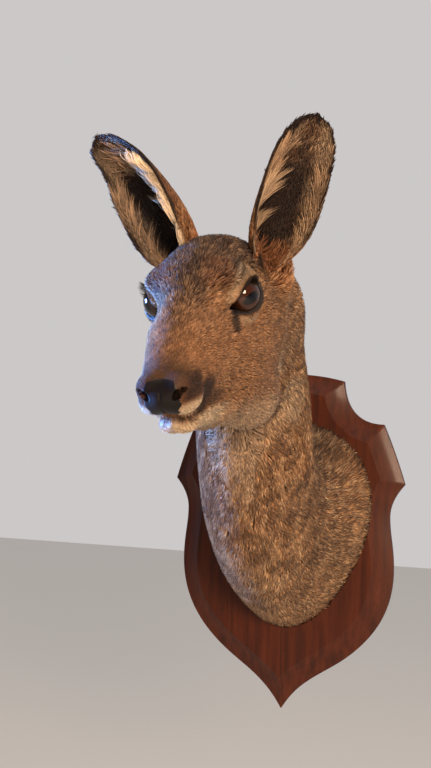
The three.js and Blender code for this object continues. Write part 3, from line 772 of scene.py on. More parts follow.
@dataclass
class Shell:
    """Vertices and faces, with what the materials read at each, ready to become a mesh."""

    points: Array  # millimetres
    corners: Array  # vertex numbers, face after face
    sizes: Array  # corners of each face
    sheet: Array  # bake map, one place a corner
    strand: Array  # millimetres round and along the body, one place a corner
    marks: Array  # shares of pale, dark, rust and crown
    hair: Array  # tone, reach along the hair, grizzle and leather
    normals: Array

    @staticmethod
    def joined(shells: list["Shell"]) -> "Shell":
        """Several shells as one.

        Args:
            shells: the parts, which share no vertices.

        Returns:
            The whole.
        """
        starts = np.cumsum([0] + [len(shell.points) for shell in shells])
        corners = np.concatenate([shell.corners + start for shell, start in zip(shells, starts)])
        names = (*PER_POINT, "sizes", "sheet", "strand")
        rest = {name: np.concatenate([getattr(shell, name) for shell in shells]) for name in names}
        return Shell(corners=corners, **rest)

    def trimmed(self) -> "Shell":
        """The same shell without the vertices that no face uses."""
        used, corners = np.unique(self.corners, return_inverse=True)
        rest = {name: getattr(self, name)[used] for name in PER_POINT}
        return replace(self, corners=corners.reshape(-1), **rest)

    def build(self, name: str, material: bpy.types.Material, own_normals: bool) -> bpy.types.Object:
        """Makes the Blender object.

        Args:
            name: the piece's name.
            material: its finish.
            own_normals: whether the mesh is shaded by the shell's normals.

        Returns:
            The object, linked to the scene.
        """
        mesh = bpy.data.meshes.new(name)
        mesh.vertices.add(len(self.points))
        mesh.vertices.foreach_set("co", (self.points * MM).astype(np.float32).ravel())
        mesh.loops.add(len(self.corners))
        mesh.loops.foreach_set("vertex_index", self.corners.astype(np.int32))
        mesh.polygons.add(len(self.sizes))
        starts = np.concatenate([[0], np.cumsum(self.sizes)[:-1]])
        mesh.polygons.foreach_set("loop_start", starts.astype(np.int32))
        mesh.update(calc_edges=True)
        mesh.polygons.foreach_set("use_smooth", np.ones(len(self.sizes), bool))
        bake = mesh.uv_layers.new(name=BAKE_MAP)
        bake.uv.foreach_set("vector", self.sheet.astype(np.float32).ravel())
        attach(mesh, "strand", "CORNER", self.strand)
        attach(mesh, "marks", "POINT", self.marks)
        attach(mesh, "hair", "POINT", self.hair)
        if own_normals:
            mesh.normals_split_custom_set_from_vertices(self.normals.tolist())
        mesh.materials.append(material)
        return put(name, mesh)


def put(name: str, data: bpy.types.ID) -> bpy.types.Object:
    """Links a new object to the scene."""
    made = bpy.data.objects.new(name, data)
    bpy.context.scene.collection.objects.link(made)
    return made


@dataclass
class Surface:
    """A stretch of skin as a grid closed round, with what its coat needs to know at each point."""

    points: Array  # rows, columns, 3; the last column repeats the first
    marks: Array
    coat: Array  # as Sized names it
    sheet_box: tuple[float, float, float, float]  # its place on the bake map: left, low, right, high
    facing: int = 1  # 1 where columns x rows point outwards
    tone: float = 0.5
    reach: float = 0.45  # the skin takes the colour of its hair at this share of the length, darker as painted shade between the tufts
    leather: Array | None = None
    shown: Array | None = None
    normals: Array = field(init=False)
    along: Array = field(init=False)
    round_: Array = field(init=False)
    place: Array = field(init=False)
    lie: Array = field(init=False)

    def __post_init__(self) -> None:
        """Works out the surface's directions and its unwrap in millimetres."""
        rows, columns = self.points.shape[:2]
        along = np.gradient(self.points, axis=0)
        ring = self.points[:, :-1]
        turn = (np.roll(ring, -1, axis=1) - np.roll(ring, 1, axis=1)) / 2
        turn = np.concatenate([turn, turn[:, :1]], axis=1)
        self.normals = unit(np.cross(turn, along)) * self.facing
        self.along, self.round_ = unit(along), unit(turn)
        if self.leather is None:
            self.leather = np.zeros((rows, columns))
        if self.shown is None:
            self.shown = np.ones((rows - 1, columns - 1), bool)
        ups = np.linalg.norm(np.diff(self.points, axis=0), axis=-1).mean(axis=1)
        arounds = np.linalg.norm(np.diff(self.points, axis=1), axis=-1)
        up = np.concatenate([[0], np.cumsum(ups)])
        across = np.cumsum(np.concatenate([np.zeros((rows, 1)), arounds], axis=1), axis=1)
        self.place = np.stack([across, np.broadcast_to(up[:, None], across.shape)], axis=-1)
        self.lay(-self.along)

    def lay(self, way: Array) -> None:
        """Sets which way the hair lies, pressed flat on the surface."""
        self.lie = unit(way - dot(way, self.normals) * self.normals)

    def sheet(self) -> Array:
        """Each point's place on the bake map."""
        left, low, right, high = self.sheet_box
        x = mix(left, right, np.linspace(0, 1, self.points.shape[1]))[None, :]
        y = mix(low, high, self.place[:, :1, 1] / self.place[-1, 0, 1])
        return np.stack(np.broadcast_arrays(x, y), axis=-1)

    def shell(self, shown: Array | None = None, ends: tuple[bool, ...] = ()) -> Shell:
        """The surface as quads.

        Args:
            shown: which quads are made, or all that the surface shows.
            ends: the rows closed by a fan: False for the first and True for the last.

        Returns:
            The shell.
        """
        shown = self.shown if shown is None else shown
        rows, columns = self.points.shape[:2]
        real = columns - 1
        row, column = np.nonzero(shown)
        grid = [(row, column), (row, column + 1), (row + 1, column + 1), (row + 1, column)]
        if self.facing < 0:
            grid = grid[::-1]
        corners = np.stack([r * real + c % real for r, c in grid], axis=1)
        even = np.ones(self.leather.shape)
        grizzle = self.coat[..., Sized.GRIZZLE] * 0.5
        hair = np.stack([even * self.tone, even * self.reach, grizzle, self.leather], axis=-1)
        strand = np.concatenate([self.place, np.zeros((rows, columns, 1))], axis=-1)
        sheet, strand = (
            np.stack([values[r, c] for r, c in grid], axis=1).reshape(-1, values.shape[-1])
            for values in (self.sheet(), strand)
        )
        points, marks, hair, normals = (
            values[:, :real].reshape(-1, values.shape[-1])
            for values in (self.points, self.marks, hair, self.normals)
        )
        sizes = np.full(len(corners), 4)
        made = Shell(points, corners.ravel(), sizes, sheet, strand, marks, hair, normals)
        for last in ends:
            self.close(made, real, last)
        return made

    def close(self, made: Shell, real: int, last: bool) -> None:
        """Closes one end of a tube with a fan about its middle.

        Args:
            made: the shell, which gains a vertex and a ring of triangles.
            real: how many vertices a row has.
            last: whether it is the last row that is closed.
        """
        first = (len(self.points) - 1) * real if last else 0
        ring = first + np.arange(real)
        after = np.roll(ring, -1)
        middle = np.full(real, len(made.points))
        order = [ring, after, middle] if last == (self.facing > 0) else [after, ring, middle]
        corner = self.sheet()[-1 if last else 0, 0]
        made.corners = np.concatenate([made.corners, np.stack(order, axis=1).ravel()])
        made.sizes = np.concatenate([made.sizes, np.full(real, 3)])
        wedge = np.array([[0, 0], [0.002, 0], [0, 0.002]])
        made.sheet = np.concatenate([made.sheet, np.tile(corner + wedge * (-1 if last else 1), (real, 1))])
        made.strand = np.concatenate([made.strand, np.zeros((3 * real, 3))])
        for name in PER_POINT:
            values = getattr(made, name)
            setattr(made, name, np.vstack([values, values[ring].mean(axis=0)]))


# ---------------------------------------------------------------- the skin
LIDS_REACH = 25.0  # radius of the lids' patch in the eye's plane


@dataclass
class Body:
    """The skin of the head and neck as one swept surface, inside the outline by the coat's depth."""

    outline: Outline
    face: Face
    eyes: tuple[EyeSocket, EyeSocket]
    markings: Markings
    rule: CoatRule
    around: int = 224
    neck_rings: int = 104
    fan_rings: int = 58
    head_rings: int = 140
    nose_rings: int = 46
    coarse: int = 4  # one ray in so many is marched all the way
    stride: float = 4.0  # millimetres a step of that march
    body_reach: float = 180
    back_u: float = -56  # the head's first ring
    front_u: float = 90  # its last, from whose middle the nose's rays fan out
    axis: Stations = Stations(("w",), ((-56, -36), (-42, -15), (0, -12), (50, -22), (90, -28)))
    window: tuple[float, float] = (10, 8)  # how far the fine march looks in and out

    def rays(self) -> tuple[Array, Array, Array]:
        """Rays from the animal's own axis out to its skin, ring after ring.

        Returns:
            Their starts, directions and the rings' stations.
        """
        line, head = self.outline, self.outline.head
        turn = math.radians(line.turn)
        whole = np.sum(np.linalg.norm(np.diff(line.line, axis=0), axis=1))
        arc_share = line.reach * turn / whole
        share = np.linspace(0, 1, self.neck_rings, endpoint=False)
        at = share * (1 - arc_share) * line.samples
        low = at.astype(int)
        part = (at - low)[:, None]
        between = [mix(rows[low], rows[low + 1], part) for rows in (line.line, line.across, line.up)]
        angle = turn * (1 - np.arange(self.fan_rings) / self.fan_rings)
        x, ahead, w = head.axes()
        fan_up = -np.sin(angle)[:, None] * ahead + np.cos(angle)[:, None] * w
        u = np.linspace(self.back_u, self.front_u, self.head_rings)
        axis_w = self.axis.read(u)["w"]
        middle = np.stack([np.zeros_like(u), u, axis_w], axis=1)
        nose = np.repeat(middle[-1:], self.nose_rings, axis=0)
        later = np.vstack([line.arc(angle), middle, nose])
        origin = np.vstack([between[0], [head.place(*p) for p in later]])
        across = np.vstack([between[1], np.tile(x, (len(later), 1))])
        up = np.vstack([between[2], fan_up, np.tile(w, (self.head_rings + self.nose_rings, 1))])
        tilt = np.zeros(len(origin))
        tilt[-self.nose_rings :] = np.radians(89) * np.arange(1, self.nose_rings + 1) / self.nose_rings
        counts = (self.neck_rings, self.fan_rings, self.head_rings, self.nose_rings)
        station = np.concatenate([k + np.arange(n) / n for k, n in enumerate(counts)])
        a = np.linspace(0, 2 * math.pi, self.around, endpoint=False)[None, :, None]
        radial = np.cos(a) * unit(across)[:, None] + np.sin(a) * unit(up)[:, None]
        tilt = tilt[:, None, None]
        way = np.cos(tilt) * radial + np.sin(tilt) * ahead
        return np.broadcast_to(origin[:, None], way.shape), way, station

    def depth_field(self, depth: Array) -> Field:
        """The field whose zero is the skin: the outline moved in by a depth, with its carving."""

        def distance(points: Array) -> Array:
            local = self.outline.head.local(points)
            leather = self.face.nose(local)
            return self.outline.distance(points) + depth * (1 - 0.75 * leather) + self.face.carve(local)

        return distance

    def radii(self, origin: Array, way: Array, depth: Array) -> Array:
        """How far along each ray the skin lies.

        Args:
            origin: the rays' starts.
            way: their directions.
            depth: the coat's depth at each.

        Returns:
            Distances in millimetres.
        """
        step = self.coarse
        start, direction = origin[::step, ::step], way[::step, ::step]
        shape = start.shape[:2]
        low, high = np.zeros(shape), np.full(shape, self.body_reach)
        steps = round(self.body_reach / self.stride)
        rough = first_crossing(self.outline.distance, start, direction, low, high, steps)
        rough = np.concatenate([rough, rough[:, :1]], axis=1)
        rows, columns = origin.shape[:2]
        row_at = np.minimum(np.arange(rows) / step, shape[0] - 1)
        column_at = np.arange(columns) / step
        r0, c0 = row_at.astype(int), column_at.astype(int)
        r1 = np.minimum(r0 + 1, shape[0] - 1)
        s, t = (row_at - r0)[:, None], (column_at - c0)[None]
        near = mix(rough[r0][:, c0], rough[r0][:, c0 + 1], t)
        guess = mix(near, mix(rough[r1][:, c0], rough[r1][:, c0 + 1], t), s)
        inner, outer = self.window
        low = np.maximum(guess - depth - inner, 0.5)
        return first_crossing(self.depth_field(depth), origin, way, low, guess + outer, 16)

    def surface(self) -> Surface:
        """Solves the skin and marks it.

        Returns:
            The closed surface, open where the lids' own patches take over.
        """
        origin, way, station = self.rays()
        columns = np.concatenate([np.arange(self.around), [0]])
        station = np.repeat(station[:, None], self.around, axis=1)
        coat = self.rule.read(station)
        radius = self.radii(origin, way, coat[..., Sized.DEPTH])
        points = (origin + way * radius[..., None])[:, columns]
        coat, station = coat[:, columns], station[:, columns]
        local = self.outline.head.local(points)
        leather = self.face.nose(local)
        upward = np.sin(np.linspace(0, 2 * math.pi, self.around + 1))[None] + 0 * station
        marks = self.markings.shares(points, station, upward)
        made = Surface(points, marks, coat, (0, 0, 0.7, 1), leather=leather)
        above = self.face.mouth(local)
        groove = (above > -0.8) & (above < 1.8) & (local[..., 1] > self.face.mouth_corner - 2)
        coat[..., Sized.SPACING][(leather > 0.35) | groove] = np.inf
        sag = ramp(1.9, 2.2, station) * 0.3
        swirl = (mottle(points, 55, 11) - 0.5) * 1.1 * ramp(2.2, 1.2, station)
        rising = spot(local, "ear_root")[..., None] * ramp(-22, -2, local[..., 2])[..., None]
        down = -self.outline.head.axes()[2]
        way = -made.along + sag[..., None] * down + swirl[..., None] * made.round_
        made.lay(mix(way, made.along * 0.2 - 1.3 * down, rising))
        self.open_for_eyes(made)
        return made

    def open_for_eyes(self, made: Surface) -> None:
        """Sinks the skin under the lids' patches and drops what they hide.

        Args:
            made: the body's surface.
        """
        for eye in self.eyes:
            seen = eye.plane(made.points)
            inside = LIDS_REACH - np.linalg.norm(seen[..., :2], axis=-1)
            inside = np.where(seen[..., 2] > -20, inside, -1)
            sink = ramp(0.6, 5, inside)[..., None] * 5
            made.points -= sink * made.normals
            made.coat[..., Sized.SPACING][inside > 1.0] = np.inf
            deep = inside > 7
            made.shown &= ~(deep[:-1, :-1] & deep[1:, :-1] & deep[:-1, 1:] & deep[1:, 1:])


@dataclass
class Lids:
    """The skin round one eye: black lid margins, the lids over the ball and the brow's crease."""

    eye: EyeSocket
    body: Body
    around: int = 128
    rows: int = 46
    thickness: float = 1.3
    margin: float = 1.3  # width of the rounded edge
    crease_at: float = 8.2
    crease: float = 3.2
    below_at: float = 5.0
    tuck: tuple[tuple[float, float], ...] = ((0.86, -1.6), (0.93, -0.5), (0.975, -0.1))

    def surface(self) -> Surface:
        """The patch from behind the lids' edges out to the even skin.

        Returns:
            An open surface whose rows run outwards.
        """
        eye = self.eye
        angle = np.linspace(0, 2 * math.pi, self.around + 1)[None]
        rim = eye.rim(angle)
        outer = np.stack([np.cos(angle), np.sin(angle)], axis=-1) * LIDS_REACH
        share = np.linspace(0, 1, self.rows)[:, None] ** 1.8
        flat = mix(rim, outer, share[..., None])
        away = np.linalg.norm(flat - rim, axis=-1)
        along, up, out = eye.axes()
        start = eye.centre() + flat[..., :1] * along + flat[..., 1:] * up
        way = np.broadcast_to(out, start.shape)
        shape = start.shape[:2]
        depth = mix(1.0, 3.4, ramp(3, LIDS_REACH - 12, away))
        head_long = self.body.front_u - self.body.back_u
        station = 2 + (self.body.outline.head.local(start)[..., 1] - self.body.back_u) / head_long
        level = self.body.rule.read(np.clip(station, 2, 3))
        depth = np.minimum(mix(depth, level[..., Sized.DEPTH], ramp(8, 13, away)), level[..., Sized.DEPTH])
        low, high = np.full(shape, -18.0), np.full(shape, 32.0)
        skin = first_crossing(self.body.depth_field(depth), start, way, low, high, 40)
        ball = self.over_ball(rim)
        edge = -smooth_union(-(ball + 0.5), -(skin[:1] - 3.2), 2.0)
        bead = 1 - np.clip(1 - away / self.margin, 0, 1) ** 2
        bead = self.thickness * np.sqrt(bead) * ramp(7, 1.5, away)
        height = mix(edge, skin, ramp(0.4, 9.5, away)) + bead
        top = self.brow(angle)
        bottom = ramp(-0.1, -0.6, np.sin(angle))
        height -= self.crease * top * bell(away - self.crease_at, 1.0)
        height += 1.1 * top * bell(away - self.crease_at - 3.0, 1.7)
        height -= 0.45 * bottom * bell(away - self.below_at, 0.8)
        points = start + height[..., None] * way
        tucked = []
        for scale, sink in self.tuck:
            inner = rim * scale
            tuck = mix(self.over_ball(inner) - 0.6, edge + sink, ramp(0.86, 1.0, scale))
            base = eye.centre() + inner[..., :1] * along + inner[..., 1:] * up
            tucked.append(base + tuck[..., None] * out)
        points = np.vstack([*tucked, points])
        away = np.vstack([np.zeros((len(self.tuck), self.around + 1)), away])
        station = np.clip(np.vstack([station[:1]] * len(self.tuck) + [station]), 2, 3)
        return self.dressed(points, away, station, angle)

    def over_ball(self, flat: Array) -> Array:
        """How far out of the eye's plane the ball stands at places in it."""
        return np.sqrt(np.clip(self.eye.radius**2 - np.sum(flat**2, axis=-1), 0, None))

    @staticmethod
    def brow(angle: Array) -> Array:
        """Where round the eye the brow's fold runs: 1 over its front and top, 0 below and behind."""
        return ramp(0.0, 0.5, np.sin(angle)) * ramp(-0.75, -0.3, np.cos(angle))

    def dressed(self, points: Array, away: Array, station: Array, angle: Array) -> Surface:
        """Marks the patch, with painted shade in the brow's crease and painted highlight on the raised skin
        beside it and below the eye, and sets its coat.

        Args:
            points: the patch's grid.
            away: each point's distance outside the opening.
            station: where each lies along the head.
            angle: each column's angle round the eye.

        Returns:
            The finished surface.
        """
        marks = self.body.markings.shares(points, station, np.zeros(station.shape))
        reach = 2.1 + 2.6 * bell(signed(angle), 0.3)
        black = ramp(0.9, -0.6, away - reach)
        fold = self.brow(angle)
        # painted highlight on the raised skin either side of the brow's crease and below the eye's groove
        raised_skin_highlight = fold * (bell(away - self.crease_at - 3.6, 1.5) + 0.6 * bell(away - self.crease_at + 3.5, 1.4))
        below = ramp(-0.1, -0.6, np.sin(angle)) * bell(away - self.below_at - 2.5, 1.4)
        marks[..., 0] = np.maximum(marks[..., 0], 0.6 * raised_skin_highlight + 0.5 * below) * (1 - black)
        marks[..., 1] = np.maximum(marks[..., 1], black)
        # painted shade in the brow's crease
        marks[..., 1] = np.maximum(marks[..., 1], 0.85 * fold * bell(away - self.crease_at, 1.3))
        coat = self.body.rule.read(station)
        near = ramp(4, 17, away)
        coat[..., Sized.DEPTH] *= mix(0.3, 1.0, near)
        for size, at_rim in ((Sized.LENGTH, 2.2), (Sized.WIDTH, 0.45), (Sized.SPACING, 0.5)):
            coat[..., size] = mix(at_rim, coat[..., size], near)
        coat[..., Sized.SPACING][away < 1.6] = np.inf
        box = (0.72, 0.0, 1.0, 0.15) if self.eye.sign > 0 else (0.72, 0.16, 1.0, 0.31)
        leather = 0.55 * ramp(2.0, 0.8, away)
        made = Surface(points, marks, coat, box, facing=self.eye.sign, leather=leather)
        outwards = made.along * ramp(9, 1, away)[..., None]
        made.lay(1.2 * outwards - self.body.outline.head.axes()[1])
        return made


@dataclass(frozen=True)
class EarShape:
    """Where one ear stands: root and tip in head axes, how it faces and its width."""

    sign: int
    base: tuple[float, float, float]
    tip: tuple[float, float, float]
    face: float
    width: float
    bend: float  # how far its middle bows towards the crown, millimetres
    hook: float  # how far its tip turns away from the crown, millimetres
    hollow: float  # where the middle of the painted shade deep in the cup lies, as a share of the half width from the crown
    band: float  # how broad the dark band at the crown's side of its tip is, as such a share
    cut: float  # how far its outer edge is drawn in below the tip, millimetres


EAR_SHAPES = (
    EarShape(1, (33, -60, 0), (95, -66, 119), 24, 52, 0, 1, -0.05, 0.4, 0),
    EarShape(-1, (-9, -60, 0), (-77, -56, 127), 20, 57, 8, 4.5, 0.12, 0.22, 7),
)


@dataclass
class Ear:
    """One ear: a leaf rolled into a tube at its root and open like a spoon towards its tip."""

    shape: EarShape
    head: HeadFrame
    wall: float = 3.4
    edge: float = 0.55
    bow: float = 5
    coat: float = 0.8  # depth of its short coat
    back_coat: tuple[float, ...] = (1.3, 6.5, 1.05, 2.1, 0.3)  # sizes as Sized names them
    cup_coat: tuple[float, ...] = (1.3, 7.0, 0.82, 3.0, 0.5)
    around: int = 88
    rows: int = 76
    stations: Stations = Stations(
        ("width", "roll"),
        (
            (0, 0.35, 150),
            (0.15, 0.58, 135),
            (0.3, 0.84, 115),
            (0.5, 0.98, 90),
            (0.7, 0.97, 64),
            (0.86, 0.82, 46),
            (0.95, 0.58, 30),
            (1, 0.36, 18),
        ),
    )

    def frame(self) -> tuple[Array, Array, Array, Array, float]:
        """The ear's root, its directions and its length.

        Returns:
            Root, axis, the way it faces, the way across it and its length.
        """
        base, tip = self.head.place(*self.shape.base), self.head.place(*self.shape.tip)
        length = float(np.linalg.norm(tip - base))
        axis = (tip - base) / length
        turn = math.radians(self.shape.face)
        facing = self.head.way(self.shape.sign * math.sin(turn), math.cos(turn), 0)
        facing = unit(facing - (facing @ axis) * axis)
        return base, axis, facing, np.cross(axis, facing), length

    def place(self, s: Array, v: Array, side: Array) -> Array:
        """A point of the ear.

        Args:
            s: 0 at the root, 1 at the tip.
            v: -1 and 1 at its edges.
            side: 1 on its back, -1 in its cup, between them round its rim.

        Returns:
            The place in the part's frame.
        """
        base, axis, facing, across, length = self.frame()
        size = self.stations.read(s)
        tip = np.sqrt(np.clip(1 - (np.clip(s - 0.93, 0, 1) / 0.07) ** 2, 0, 1))
        half = np.maximum(size["width"] / 2 * self.shape.width - 0.7, 0.8) * np.maximum(tip, 0.03)
        roll = np.radians(size["roll"])
        radius = half / np.sin(np.minimum(roll, math.pi / 2))
        wall = self.wall * (1 - self.edge * v * v) * (1 - self.edge * s**8) - 2 * self.coat
        wall = np.maximum(wall, 0.7)
        folds = 0.9 * bell(v + 0.12, 0.09) + 0.7 * bell(v - 0.3, 0.08)
        folds = folds * ramp(0.15, 0.35, s) * ramp(0.85, 0.6, s) * np.clip(-side, 0, 1)
        r = radius + side * wall / 2 - folds
        a = v * roll
        bow = self.bow * np.sin(math.pi * s)
        forward = radius - r * np.cos(a) - bow
        bent = self.shape.bend * np.sin(math.pi * np.clip(s, 0, 1)) ** 1.3
        bent = bent - self.shape.hook * ramp(0.7, 1.0, s) ** 2
        bent = bent + self.shape.cut * np.clip(self.shape.sign * v, 0, 1) * bell(s - 0.82, 0.13)
        aside = r * np.sin(a) - self.shape.sign * bent
        up = s[..., None] * 0.985 * length * axis
        return base + up + forward[..., None] * facing + aside[..., None] * across

    def surface(self) -> Surface:
        """The ear's skin, back and cup, round its rim.

        Returns:
            A closed surface whose rows run from root to tip.
        """
        turn = np.linspace(0, 2 * math.pi, self.around + 1)[None]
        s = np.linspace(0.02, 1, self.rows)[:, None] + 0 * turn
        v = np.cos(turn) + 0 * s
        rounded = np.sign(np.sin(turn)) * np.abs(np.sin(turn)) ** 0.6 + 0 * s
        rounded[:, -1] = rounded[:, 0]
        points = self.place(s, v, rounded)
        marks, coat = self.pattern(s, v, rounded, points)
        box = (0.72, 0.33, 1.0, 0.65) if self.shape.sign > 0 else (0.72, 0.67, 1.0, 0.99)
        made = Surface(points, marks, coat, box)
        made.lay(made.along)
        return made

    def pattern(self, s: Array, v: Array, side: Array, points: Array) -> tuple[Array, Array]:
        """The ear's markings and its short coat.

        Args:
            s: 0 at the root, 1 at the tip.
            v: -1 and 1 at its edges.
            side: 1 on its back, -1 in its cup.
            points: the grid.

        Returns:
            The shares of pale, dark, rust and crown, and the coat's sizes.
        """
        medial = -self.shape.sign * v  # 1 at the edge nearer the crown
        wobble = mottle(points, 8, 21) - 0.5
        cup = ramp(0.1, -0.35, side)
        rim = ramp(0.88, 0.97, np.abs(v) + 0.1 * wobble) * ramp(0.15, 0.4, s)
        rim = np.maximum(rim, ramp(0.93, 0.975, s + 0.04 * wobble))
        inside = 1 - self.shape.band
        band = ramp(inside - 0.08, inside + 0.1, medial + 0.2 * wobble)
        rim = np.maximum(rim, band * ramp(0.6, 0.78, s))
        # painted shade deep in the lower, rolled part of the cup
        middle = np.abs(v - self.shape.hollow * self.shape.sign)
        hollow = cup * ramp(0.62, 0.34, middle + 0.3 * wobble) * ramp(0.84, 0.62, s)
        lining = cup * ramp(0.1, 0.6, np.abs(v) + 0.4 * wobble) * 0.32
        pale = lining * (1 - rim) * (1 - hollow)
        dark = np.maximum.reduce([rim * 0.94, hollow * 0.97, cup * (0.24 + 0.5 * wobble)])
        rust = (1 - cup) * 0.3 + cup * ramp(0.3, 0.12, s) * 0.9
        rust = np.maximum(rust, ramp(0.34, 0.2, s) * ramp(-0.2, 0.4, medial) * 0.8)
        crown = (1 - cup) * ramp(0.1, 0.5, s) * 0.8 + cup * (0.95 + 0.5 * wobble)
        marks = np.stack([pale, dark, rust * (1 - dark), crown], axis=-1)
        coat = (1 - cup)[..., None] * self.back_coat + cup[..., None] * self.cup_coat
        coat[..., Sized.LENGTH] *= ramp(1.02, 0.86, s) * 0.7 + 0.3
        edge = ramp(0.86, 0.97, np.abs(v))
        for size, at_edge in ((Sized.LENGTH, 5.0), (Sized.SPACING, 0.75), (Sized.DEPTH, 0.7)):
            coat[..., size] = mix(coat[..., size], at_edge, edge)
        return marks, coat


# ---------------------------------------------------------------- the coat
@dataclass
class Roots:
    """Where tufts grow and what each needs, one row a tuft."""

    at: Array
    normal: Array
    lie: Array
    along: Array
    round_: Array
    place: Array
    sheet: Array
    marks: Array
    coat: Array

    @staticmethod
    def strewn(surface: Surface, rng: np.random.Generator) -> "Roots":
        """Strews roots over a surface as thickly as its coat asks.

        Args:
            surface: the skin.
            rng: the source of chance.

        Returns:
            The roots, in the order of the surface's rows.
        """
        names = ("points", "normals", "lie", "along", "round_", "place")
        layers = [getattr(surface, name) for name in names]
        layers += [surface.sheet(), surface.marks, surface.coat]
        widths = np.cumsum([layer.shape[-1] for layer in layers])[:-1]
        stack = np.concatenate(layers, axis=-1)
        edge_a = surface.points[1:, :-1] - surface.points[:-1, :-1]
        edge_b = surface.points[:-1, 1:] - surface.points[:-1, :-1]
        area = np.linalg.norm(np.cross(edge_a, edge_b), axis=-1)
        crowd = cell_mean(1 / surface.coat[..., Sized.SPACING])
        wanted = np.cumsum((area * crowd * surface.shown).ravel())
        count = int(wanted[-1])
        draws = (np.arange(count) + rng.random(count)) * (wanted[-1] / count)
        cell = np.minimum(np.searchsorted(wanted, draws), len(wanted) - 1)
        row, column = np.divmod(cell, surface.points.shape[1] - 1)
        s, t = rng.random(count)[:, None], rng.random(count)[:, None]
        stack = np.where(np.isfinite(stack), stack, 0)
        near = mix(stack[row, column], stack[row, column + 1], t)
        far = mix(stack[row + 1, column], stack[row + 1, column + 1], t)
        at, *ways, place, sheet, marks, coat = np.split(mix(near, far, s), widths, axis=1)
        return Roots(at, *[unit(way) for way in ways], place, sheet, marks, coat)

    def picked(self, chosen: Array) -> "Roots":
        """Some of the roots."""
        return Roots(**{name: values[chosen] for name, values in vars(self).items()})

    def unrolled(self) -> "Roots":
        """The same roots with the piece's own unwrap filling its bake map."""
        low, high = self.sheet.min(axis=0), self.sheet.max(axis=0)
        self.sheet = (self.sheet - low) / (high - low)
        return self


